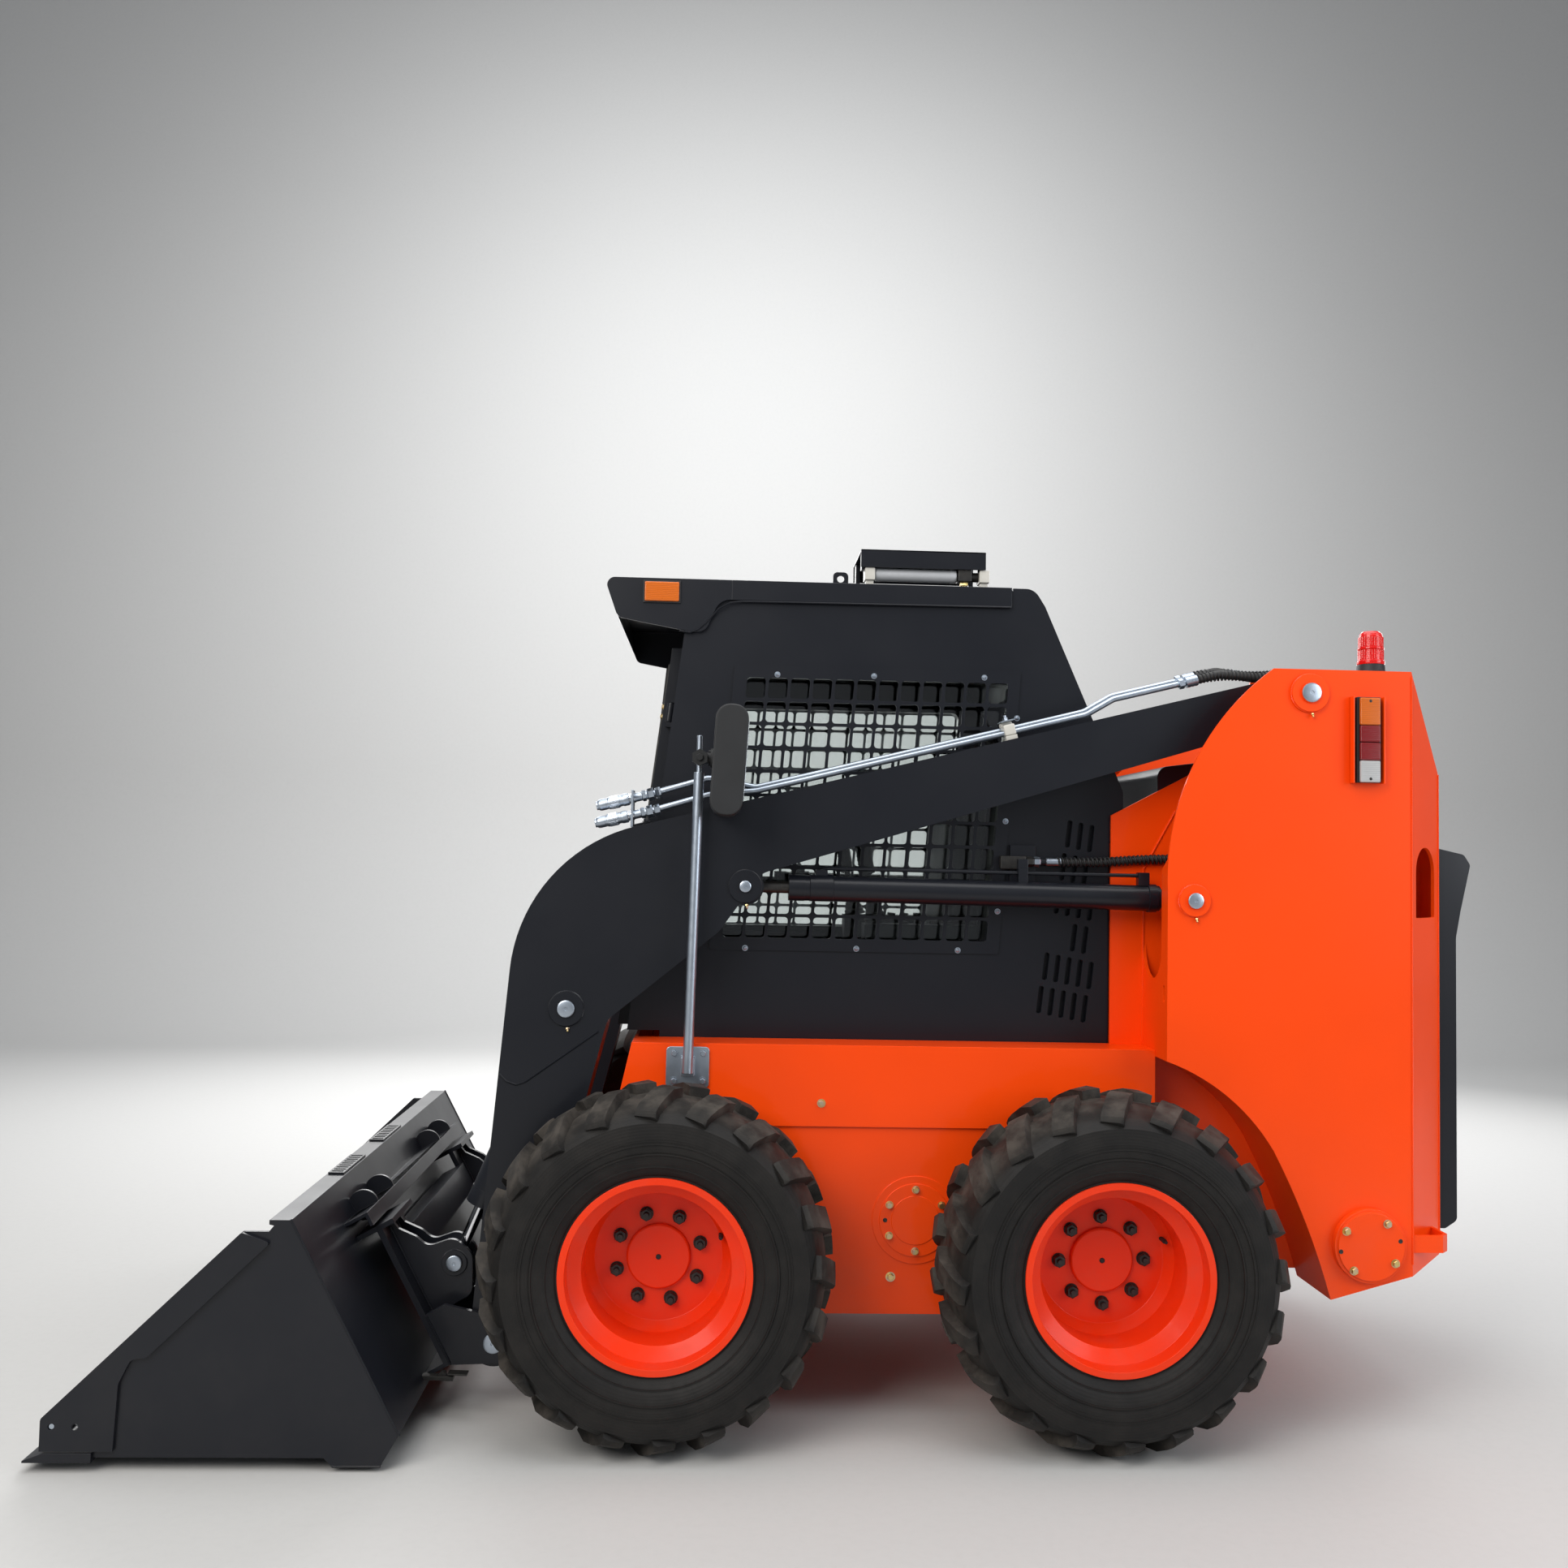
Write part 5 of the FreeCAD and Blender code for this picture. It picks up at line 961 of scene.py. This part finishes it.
class LOADER_OT_lamps(bpy.types.Operator):
    """Tail lamps in their channels, marker lamps and the beacon"""

    bl_idname = "loader.lamps"
    bl_label = "Lamps and beacon"

    def execute(self, context):
        holders = []
        for side, sign in SIDES.items():
            outward = Vector((0, sign, 0))

            def channel(bm, sign=sign):
                block(bm, (0.08, 0.004, 0.212), at(648.0, sign * 655.3, 1663.0), edge=0.0012)
                for x in (610.0, 686.0):
                    block(bm, (0.004, 0.022, 0.212), at(x, sign * 664.3, 1663.0), edge=0.0012)

            holders.append(make(f"tail_lamp_channel_{side}", "machine", "orange_paint", channel))

            def body(bm, sign=sign):
                block(bm, (0.06, 0.016, 0.21), at(648.0, sign * 665.3, 1663.0), edge=0.003)

            holders.append(make(f"tail_lamp_body_{side}", "machine", "black_plastic", body))
            # lens, finish, middle and height
            thirds = (("amber", "amber_lens", 1732.0, 67.0), ("red", "dark_red_lens", 1677.0, 41.0),
                      ("stop", "dark_red_lens", 1634.0, 43.0), ("clear", "clear_lens", 1585.0, 53.0))
            for part, colour, z, tall in thirds:

                def cover(bm, sign=sign, z=z, tall=tall):
                    block(bm, (0.05, 0.01, tall * MM), at(648.0, sign * 677.5, z), edge=0.0035, segments=3)

                holders.append(make(f"tail_lamp_{part}_{side}", "machine", colour, cover))

            def screws(bm, sign=sign, outward=outward):
                for z in (1757.0, 1567.0):
                    button_head(bm, at(648.0, sign * 682.0, z), outward, 0.0042, 0.001)

            holders.append(make(f"tail_lamp_screws_{side}", "machine", "black_oxide", screws))

            def marker_base(bm, sign=sign):
                block(bm, (0.096, 0.004, 0.058), at(-1090.0, sign * 442.3, 2021.0), edge=0.0015)

            holders.append(make(f"marker_base_{side}", "machine", "black_plastic", marker_base))

            def marker(bm, sign=sign):
                block(bm, (0.088, 0.0065, 0.05), at(-1090.0, sign * 447.2, 2021.0), edge=0.003, segments=3)

            holders.append(make(f"marker_lens_{side}", "machine", "amber_lens", marker))
        for holder in holders:
            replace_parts(holder, "lamps")
        foot = at(685.0, -600.0, 1835.3)

        def base(bm):
            spun(bm, [(0.0, 0.0), (0.035, 0.0), (0.036, 0.003), (0.034, 0.006), (0.033, 0.019), (0.031, 0.022),
                      (0.0, 0.022)], foot, UP, 40)

        def dome(bm):
            spun(bm, [(0.0, 0.0215), (0.0315, 0.0215), (0.033, 0.0235), (0.033, 0.03), (0.0305, 0.0315),
                      (0.0295, 0.058), (0.0315, 0.0595), (0.0315, 0.064), (0.0292, 0.0655), (0.0285, 0.09),
                      (0.0262, 0.099), (0.02, 0.1045), (0.0, 0.106)], foot, UP, 48)
            for i in range(30):
                angle = 2 * math.pi * i / 30
                rib = Vector((math.cos(angle), math.sin(angle), 0))
                prism(bm, 6, 0.0011, foot + rib * 0.0297 + UP * 0.032, UP, 0.026)
                prism(bm, 6, 0.0011, foot + rib * 0.0288 + UP * 0.066, UP, 0.024)

        for name, finish_name, build in (("beacon_base", "black_plastic", base), ("beacon_dome", "red_lens", dome)):
            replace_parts(make(name, "machine", finish_name, build), "beacon")
        return {"FINISHED"}


class LOADER_OT_hoses(bpy.types.Operator):
    """Spiral guards, fittings, clamps and couplers of the hydraulic lines"""

    bl_idname = "loader.hoses"
    bl_label = "Hoses and couplers"

    def execute(self, context):
        self.pitch = context.scene.loader_sizes.wrap_pitch
        self.slope = (1833.0 - 1348.0) / (508.0 + 1411.0) * 1.004
        self.arm_lines()
        self.couplers()
        for side, sign in SIDES.items():
            self.frame_line(side, sign)
            self.barrel_line(side, sign)
        return {"FINISHED"}

    def above(self, x, height):
        """Height over the arm's straight top edge."""
        return 1348.0 + (x + 1411.0) * self.slope + height

    def arm_lines(self):
        def fittings(bm):
            for y, height in ((-486.0, 54.0), (-512.0, 44.0)):
                end = at(245.0, y, self.above(245.0, height))
                run = Vector((1, 0, self.slope)).normalized()
                hexagon_bolt(bm, end - run * 0.018, run, 0.024, 0.014)
                prism(bm, 24, 0.0135, end, run, 0.03)
                for back in (0.0, 0.009, 0.018):
                    prism(bm, 24, 0.0142, end + run * (0.006 + back), run, 0.004)

        make("arm_hose_fittings", "loader_arm", "zinc_steel", fittings)
        for name, y, height, last in (("upper", -486.0, 56.0, 12.0), ("lower", -512.0, 46.0, 12.0)):
            points = [at(276.0, y, self.above(276.0, height)), at(330.0, y, self.above(330.0, height)),
                      at(430.0, y, self.above(430.0, last + 4)), at(470.0, y, self.above(470.0, last))]
            spiral(f"arm_hose_guard_{name}", "loader_arm", points, 0.0118, self.pitch, 0.0024)
        upward = Vector((-self.slope, 0, 1)).normalized()
        lean = Matrix.Rotation(-math.atan(self.slope), 4, "Y")
        middle = at(-199.0, -499.0, self.above(-199.0, 0.0))

        def clamp(bm):
            block(bm, (0.03, 0.056, 0.011), middle + upward * 0.006, lean, 0.0015)
            block(bm, (0.03, 0.028, 0.028), middle + upward * 0.026 - Vector((0, 0.013, 0)), lean, 0.004)
            block(bm, (0.03, 0.028, 0.036), middle + upward * 0.03 + Vector((0, 0.013, 0)), lean, 0.004)

        make("pipe_clamp", "loader_arm", "white_nylon", clamp)

        def plates(bm):
            block(bm, (0.034, 0.05, 0.003), middle + upward * 0.0495, lean, 0.0008)
            hexagon_bolt(bm, middle + upward * 0.051, upward, 0.013, 0.0075)
            prism(bm, 12, 0.004, middle + upward * 0.051, upward, 0.014)

        make("pipe_clamp_plates", "loader_arm", "zinc_steel", plates)

    def couplers(self):
        run = Vector((-1, 0, -0.24)).normalized()
        starts = [at(-1112.0, y, self.above(-1112.0, height)) for y, height in ((-486.0, 74.0), (-512.0, 30.0))]

        def bodies(bm):
            for start in starts:
                hexagon_bolt(bm, start - run * 0.034, run, 0.024, 0.014)
                hexagon_bolt(bm, start - run * 0.016, run, 0.027, 0.016)
                hexagon_bolt(bm, start + run * 0.004, run, 0.024, 0.01)
                spun(bm, [(0.0112, 0.047), (0.0148, 0.047), (0.0155, 0.05), (0.0155, 0.06), (0.0148, 0.063),
                          (0.0132, 0.064), (0.0132, 0.07), (0.0158, 0.071), (0.0158, 0.097), (0.0148, 0.1),
                          (0.0135, 0.101), (0.0135, 0.104), (0.0145, 0.105), (0.0145, 0.118), (0.0135, 0.123),
                          (0.0112, 0.126), (0.0098, 0.126), (0.0098, 0.116)], start, run, 36)

        make("quick_couplers", "loader_arm", "zinc_steel", bodies)

        def knurls(bm):
            for start in starts:
                for i in range(30):
                    angle = 2 * math.pi * i / 30
                    spoke = square_to(run) @ Vector((math.cos(angle), math.sin(angle), 0)) * 0.0158
                    prism(bm, 4, 0.0007, start + run * 0.074 + spoke, run, 0.02)
                for back in (0.031, 0.037, 0.043):
                    spun(bm, [(0.011, back), (0.0128, back + 0.001), (0.0128, back + 0.003), (0.011, back + 0.004)],
                         start, run, 24)

        make("coupler_grips", "loader_arm", "chrome_rod", knurls)

        def foot(bm):
            block(bm, (0.05, 0.06, 0.005), at(-1126.0, -499.0, self.above(-1126.0, 4.0)),
                  Matrix.Rotation(-math.atan(self.slope), 4, "Y"), 0.001)
            for y in (-522.0, -476.0):
                hexagon_bolt(bm, at(-1112.0, y, self.above(-1112.0, 6.0)), UP, 0.012, 0.006, 0.01)

        make("coupler_foot", "loader_arm", "black_paint", foot)

    def frame_line(self, side, sign):
        y = sign * 454.3
        points = [at(-66.0, y, 1350.0), at(40.0, y, 1350.0), at(180.0, y, 1364.0), at(328.0, y, 1364.0)]
        spiral(f"frame_hose_guard_{side}", "machine", points, 0.0102, self.pitch * 1.15, 0.0036)

        def port(bm):
            block(bm, (0.066, 0.024, 0.034), at(-180.0, sign * 452.0, 1347.0), edge=0.003)
            hexagon_bolt(bm, at(-147.0, y, 1350.0), BACK, 0.023, 0.021)

        make(f"frame_hose_port_{side}", "machine", "black_oxide", port)

        def fitting(bm):
            start = at(-126.0, y, 1350.0)
            hexagon_bolt(bm, start, BACK, 0.0225, 0.016)
            spun(bm, [(0.0, 0.0), (0.0085, 0.0), (0.0085, 0.03), (0.0104, 0.032), (0.0104, 0.062), (0.0112, 0.064),
                      (0.0112, 0.068), (0.0, 0.068)], start, BACK, 28)

        make(f"frame_hose_fitting_{side}", "machine", "zinc_steel", fitting)

    def barrel_line(self, side, sign):
        y = sign * 502.0
        body = f"lift_cylinder_barrel_{side}"
        line = [at(142.0, y, 1312.0), at(142.0, y, 1320.0), at(120.0, y, 1320.0), at(-165.0, y, 1321.0),
                at(-400.0, y, 1322.0), at(-640.0, y, 1323.0), at(-672.0, y, 1323.0), at(-672.0, y, 1305.0)]
        thin_pipe(f"barrel_pipe_{side}", body, "black_paint", line, 0.0048)

        def ports(bm):
            block(bm, (0.03, 0.026, 0.026), at(-672.0, y, 1307.0), edge=0.002)
            block(bm, (0.028, 0.028, 0.034), at(142.0, y, 1311.0), edge=0.002)
            block(bm, (0.024, 0.024, 0.04), at(-165.0, y, 1313.0), edge=0.0015)
            block(bm, (0.026, 0.02, 0.028), at(-165.0, y, 1342.0), edge=0.002)
            spun(bm, [(0.0315, -0.012), (0.0355, -0.0105), (0.0355, 0.0105), (0.0315, 0.012)],
                 at(163.0, y, 1263.7), BACK, 40)
            spun(bm, [(0.0315, -0.03), (0.0342, -0.0285), (0.0342, 0.0285), (0.0315, 0.03)],
                 at(-672.0, y, 1274.3), BACK, 40)

        make(f"barrel_ports_{side}", body, "black_paint", ports)


class LOADER_OT_mirrors(bpy.types.Operator):
    """Mirror heads with their silvered glass and clamps"""

    bl_idname = "loader.mirrors"
    bl_label = "Mirrors"

    def execute(self, context):
        for side, sign in SIDES.items():
            outward = Vector((0, sign, 0))

            def head(bm, sign=sign):
                centre = at(-910.0, sign * 670.0, 1574.0)
                grown = bmesh.ops.create_cube(bm, size=1.0, matrix=Matrix.Translation(centre)
                                              @ Matrix.Rotation(math.radians(3.0), 4, "Y")
                                              @ Matrix.Diagonal((0.078, 0.178, 0.262, 1.0)))
                sideways = [e for e in edges_of(grown["verts"]) if abs(e.verts[0].co.y - e.verts[1].co.y) > 0.1]
                bevel(bm, sideways, 0.034, 6)
                rims = [e for e in bm.edges if all(abs(v.co.y - centre.y) > 0.088 for v in e.verts)]
                bevel(bm, rims, 0.02, 4)

            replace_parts(make(f"mirror_head_{side}", "machine", "black_plastic", head), "mirror_heads")

            def glass(bm, sign=sign):
                block(bm, (0.003, 0.134, 0.19), at(-870.8, sign * 670.0, 1572.0),
                      Matrix.Rotation(math.radians(3.0), 4, "Y"), 0.0012)

            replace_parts(make(f"mirror_glass_{side}", "machine", "mirror_glass", glass), "mirror_heads")

            def clamp(bm, sign=sign, outward=outward):
                pole = at(-981.0, sign * 590.0, 1587.0)
                prism(bm, 6, 0.021, pole - outward * 0.02, outward, 0.045)
                hexagon_bolt(bm, pole + outward * 0.025, outward, 0.016, 0.006)
                prism(bm, 20, 0.014, pole, BACK, 0.032)
                prism(bm, 28, 0.024, pole + BACK * 0.026, BACK, 0.006)
                for z in (-0.016, 0.016):
                    prism(bm, 10, 0.0035, pole + BACK * 0.021 + UP * z, BACK, 0.006)

            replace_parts(make(f"mirror_clamp_{side}", "machine", "black_plastic", clamp), "mirror_heads")
        return {"FINISHED"}


class LOADER_OT_roof_unit(bpy.types.Operator):
    """Channel, cylinder and valve on the roof"""

    bl_idname = "loader.roof_unit"
    bl_label = "Roof unit"

    def execute(self, context):
        def channel(bm):
            block(bm, (0.33, 0.23, 0.005), at(-410.0, -265.0, 2157.5), edge=0.0015)
            for y in (-377.5, -152.5):
                block(bm, (0.33, 0.005, 0.047), at(-410.0, y, 2136.5), edge=0.0015)
            for x in (-566.0, -254.0):
                block(bm, (0.012, 0.04, 0.098), at(x, -180.0, 2106.5), edge=0.0015)
                block(bm, (0.012, 0.03, 0.05), at(x, -350.0, 2134.0), edge=0.0015)

        def cylinder(bm):
            start = at(-537.0, -350.0, 2099.0)
            spun(bm, [(0.0, 0.0), (0.014, 0.0), (0.0175, 0.004), (0.0175, 0.2), (0.0185, 0.202), (0.0185, 0.214),
                      (0.0165, 0.217), (0.0, 0.217)], start, BACK, 40)

        def ends(bm):
            for x in (-550.0, -247.5):
                block(bm, (0.027, 0.05, 0.033), at(x, -350.0, 2097.0), edge=0.003)
                block(bm, (0.02, 0.034, 0.023), at(x, -350.0, 2069.5), edge=0.002)

        def valve(bm):
            block(bm, (0.036, 0.046, 0.05), at(-299.0, -350.0, 2108.0), edge=0.003)
            prism(bm, 20, 0.0125, at(-282.0, -350.0, 2098.0), BACK, 0.022)
            prism(bm, 16, 0.009, at(-299.0, -364.0, 2126.0), (0, -1, 0), 0.015)
            block(bm, (0.006, 0.005, 0.03), at(-299.0, -373.0, 2126.0), edge=0.0015)

        def brass(bm):
            hexagon_bolt(bm, at(-299.0, -350.0, 2083.5), -UP, 0.02, 0.01)
            prism(bm, 18, 0.0075, at(-299.0, -350.0, 2074.0), -UP, 0.014)

        rows = (("roof_channel", "black_paint", channel), ("roof_cylinder", "silver_paint", cylinder),
                ("roof_cylinder_ends", "white_nylon", ends), ("roof_valve", "black_oxide", valve),
                ("roof_valve_fitting", "yellow_zinc", brass))
        for name, finish_name, build in rows:
            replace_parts(make(name, "machine", finish_name, build), "roof_unit")
        return {"FINISHED"}


class LOADER_OT_doors(bpy.types.Operator):
    """Seals, handles, wiper, hinge bolts and latches of the front and rear doors"""

    bl_idname = "loader.doors"
    bl_label = "Doors"

    def execute(self, context):
        slope = 0.11974
        lean = Matrix.Rotation(math.atan(slope), 4, "Y")
        outer = Vector((-1, 0, slope)).normalized()
        along = Vector((slope, 0, 1)).normalized()

        def on_door(y, z, out=0.0):
            """Point on the front door's outer face, or out millimetres in front of it."""
            return at(-1182.0 + (z - 906.0) * slope, y, z) + outer * out * MM

        facing = lean @ Matrix.Rotation(math.radians(-90), 4, "Y")

        def seal(bm):
            ring(bm, 0.572, 0.786, 0.014, 0.006, Matrix.Translation(on_door(0.0, 1448.5)) @ facing)

        make("door_seal", "cab_front_door", "hose_rubber", seal)

        def handle(bm):
            for z in (1360.0, 1480.0):
                prism(bm, 16, 0.011, on_door(312.0, z), outer, 0.007)
                prism(bm, 12, 0.006, on_door(312.0, z), outer, 0.034)
            block(bm, (0.012, 0.018, 0.15), on_door(312.0, 1420.0, 38.0), lean, 0.005, 3)

        make("door_handle", "cab_front_door", "black_plastic", handle)

        def lock(bm):
            prism(bm, 24, 0.014, on_door(312.0, 1300.0), outer, 0.01)
            block(bm, (0.002, 0.003, 0.008), on_door(312.0, 1300.0, 10.2), lean, 0.0004, 1)

        make("door_lock", "cab_front_door", "chrome_rod", lock)

        def wiper(bm):
            prism(bm, 20, 0.016, on_door(0.0, 1862.0), outer, 0.016)
            block(bm, (0.005, 0.013, 0.35), on_door(-78.0, 1706.0, 15.0), lean @ Matrix.Rotation(0.46, 4, "X"), 0.0015)
            block(bm, (0.006, 0.008, 0.46), on_door(-163.0, 1600.0, 9.0), lean, 0.002)

        make("door_wiper", "cab_front_door", "black_plastic", wiper)

        def hinge_bolts(bm):
            for low in (1010.0, 1700.0):
                for z in (low + 12, low + 38):
                    hexagon_bolt(bm, on_door(-322.0, z), outer, 0.011, 0.005, 0.0085)

        make("door_hinge_bolts", "cab_front_door", "yellow_zinc", hinge_bolts)
        skin = Vector((1, 0, 0))

        def latch(bm):
            seat = at(951.0, -430.0, 1130.0)
            block(bm, (0.006, 0.07, 0.11), seat, edge=0.002)
            block(bm, (0.01, 0.036, 0.07), seat + skin * 0.005, edge=0.003)

        make("rear_door_latch", "rear_engine_door", "black_plastic", latch)

        def rear_lock(bm):
            prism(bm, 20, 0.009, at(954.0, -430.0, 1092.0), skin, 0.004)

        make("rear_door_lock", "rear_engine_door", "chrome_rod", rear_lock)
        return {"FINISHED"}


class LOADER_OT_controls(bpy.types.Operator):
    """Grips, bellows and switches on the pods, and the seat belt"""

    bl_idname = "loader.controls"
    bl_label = "Controls and seat belt"

    def execute(self, context):
        tilt = Vector((-0.2, 0, 1)).normalized()
        for side, sign in SIDES.items():
            foot = at(-512.0, sign * 310.0, 1180.3)

            def boot(bm, foot=foot):
                rows = [(0.0, 0.0), (0.034, 0.0)]
                for i in range(6):
                    rows += [(0.033 - i * 0.0035, 0.004 + i * 0.011), (0.028 - i * 0.003, 0.009 + i * 0.011)]
                spun(bm, rows + [(0.0095, 0.068)], foot, tilt, 28)

            make(f"lever_boot_{side}", "machine", "hose_rubber", boot)

            def grip(bm, foot=foot):
                start = foot + tilt * 0.13
                spun(bm, [(0.0, 0.0), (0.013, 0.0), (0.0185, 0.006), (0.0192, 0.03), (0.0172, 0.05), (0.0185, 0.066),
                          (0.0222, 0.082), (0.0222, 0.096), (0.017, 0.104), (0.0, 0.106)], start, tilt, 32)
                for i in range(4):
                    prism(bm, 20, 0.0205, start + tilt * (0.018 + i * 0.011), tilt, 0.003)

            make(f"lever_grip_{side}", "machine", "black_plastic", grip)

            def button(bm, foot=foot):
                prism(bm, 20, 0.006, foot + tilt * 0.235, tilt, 0.005)

            make(f"lever_button_{side}", "machine", "red_lens", button)

            def switches(bm, sign=sign):
                for x in (-440.0, -400.0, -360.0):
                    block(bm, (0.024, 0.016, 0.008), at(x, sign * 310.0, 1184.0), Matrix.Rotation(0.14, 4, "Y"), 0.002)
                prism(bm, 24, 0.013, at(-320.0, sign * 310.0, 1180.2), UP, 0.008)

            make(f"pod_switches_{side}", "machine", "black_oxide", switches)
        low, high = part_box("seat_cushions")
        width = high[1] - low[1]
        top = low[2] + 0.0935

        def belt(bm):
            block(bm, (0.05, width * 0.96, 0.003), (low[0] + 0.2, 0.0, top), edge=0.0008)
            for sign in (-1, 1):
                block(bm, (0.05, 0.003, 0.1), (low[0] + 0.2, sign * width * 0.482, top - 0.049), edge=0.0008)

        make("seat_belt", "machine", "belt_webbing", belt)

        def buckle(bm):
            block(bm, (0.062, 0.075, 0.013), (low[0] + 0.2, 0.06, top + 0.007), edge=0.003)

        make("seat_belt_buckle", "machine", "chrome_rod", buckle)
        return {"FINISHED"}


class LOADER_OT_seat(bpy.types.Operator):
    """Padded seat and back cushions, blown up as cloth and held near their shape"""

    bl_idname = "loader.seat"
    bl_label = "Seat cushions"

    def execute(self, context):
        low, high = (Vector(corner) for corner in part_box("seat_cushions"))
        bottom_top = low.z + 0.085
        seat = self.pad("seat_cushion", (low.x + 0.012, low.y + 0.012, low.z + 0.004),
                        (high.x - 0.165, high.y - 0.012, bottom_top - 0.008), 0.0)
        back = self.pad("back_cushion", (high.x - 0.2, low.y + 0.02, bottom_top + 0.012),
                        (high.x - 0.105, high.y - 0.02, high.z - 0.012), 0.07)
        for piece in (seat, back):
            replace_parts(piece, "seat_cushions")
        return {"FINISHED"}

    def pad(self, name, low, high, lean):
        low = Vector(low)
        high = Vector(high)
        centre = (low + high) / 2

        def core(bm):
            turn = Matrix.Rotation(lean, 4, "Y")
            block(bm, high - low, centre, turn, 0.024, 3)

        piece = make(name, "machine", "seat_vinyl", core)
        remesh = piece.modifiers.new("Remesh", "REMESH")
        remesh.mode = "VOXEL"
        remesh.voxel_size = 0.008
        self.apply(piece)
        rest = [vert.co.copy() for vert in piece.data.vertices]
        cloth = piece.modifiers.new("Cloth", "CLOTH")
        cloth.settings.use_pressure = True
        cloth.settings.uniform_pressure_force = 4.0
        cloth.settings.effector_weights.gravity = 0.0
        for step in range(1, 21):
            bpy.context.scene.frame_set(step)
        self.apply(piece)
        bpy.context.scene.frame_set(1)
        for vert, start in zip(piece.data.vertices, rest):
            move = vert.co - start
            if move.length > 0.008:
                vert.co = start + move.normalized() * 0.008
        softer = piece.modifiers.new("Softer", "SUBSURF")
        softer.levels = 1
        softer.render_levels = 1
        for face in piece.data.polygons:
            face.use_smooth = True
        return piece

    def apply(self, piece):
        for modifier in piece.modifiers:
            if modifier.type == "WEIGHTED_NORMAL":
                piece.modifiers.remove(modifier)
        graph = bpy.context.evaluated_depsgraph_get()
        settled = bpy.data.meshes.new_from_object(piece.evaluated_get(graph))
        piece.modifiers.clear()
        old = piece.data
        piece.data = settled
        bpy.data.meshes.remove(old)
        if not piece.data.materials:
            piece.data.materials.append(finish("seat_vinyl"))


OPERATORS = (
    LOADER_OT_stage, LOADER_OT_plates, LOADER_OT_tyres, LOADER_OT_wheel_nuts, LOADER_OT_pins, LOADER_OT_fasteners,
    LOADER_OT_welds, LOADER_OT_hitch, LOADER_OT_lamps, LOADER_OT_hoses, LOADER_OT_mirrors, LOADER_OT_roof_unit,
    LOADER_OT_doors, LOADER_OT_seat, LOADER_OT_controls,
)


class LOADER_PT_pieces(bpy.types.Panel):
    """Lists the steps that finish the loader"""

    bl_idname = "LOADER_PT_pieces"
    bl_label = "Skid steer loader"
    bl_space_type = "VIEW_3D"
    bl_region_type = "UI"
    bl_category = "Loader"

    def draw(self, context):
        column = self.layout.column()
        for step in OPERATORS:
            column.operator(step.bl_idname)
        for settings in (context.scene.loader_sizes, context.scene.loader_colours, context.scene.loader_stage):
            for name in settings.bl_rna.properties.keys():
                if name not in ("rna_type", "name"):
                    column.prop(settings, name)


CLASSES = (LoaderSizes, LoaderColours, LoaderStage, *OPERATORS, LOADER_PT_pieces)


def register():
    for item in CLASSES:
        bpy.utils.register_class(item)
    bpy.types.Scene.loader_sizes = bpy.props.PointerProperty(type=LoaderSizes)
    bpy.types.Scene.loader_colours = bpy.props.PointerProperty(type=LoaderColours)
    bpy.types.Scene.loader_stage = bpy.props.PointerProperty(type=LoaderStage)


def unregister():
    del bpy.types.Scene.loader_stage
    del bpy.types.Scene.loader_colours
    del bpy.types.Scene.loader_sizes
    for item in reversed(CLASSES):
        bpy.utils.unregister_class(item)


def main():
    register()
    for step in OPERATORS:
        group, name = step.bl_idname.split(".")
        getattr(getattr(bpy.ops, group), name)()


if __name__ == "__main__":
    main()
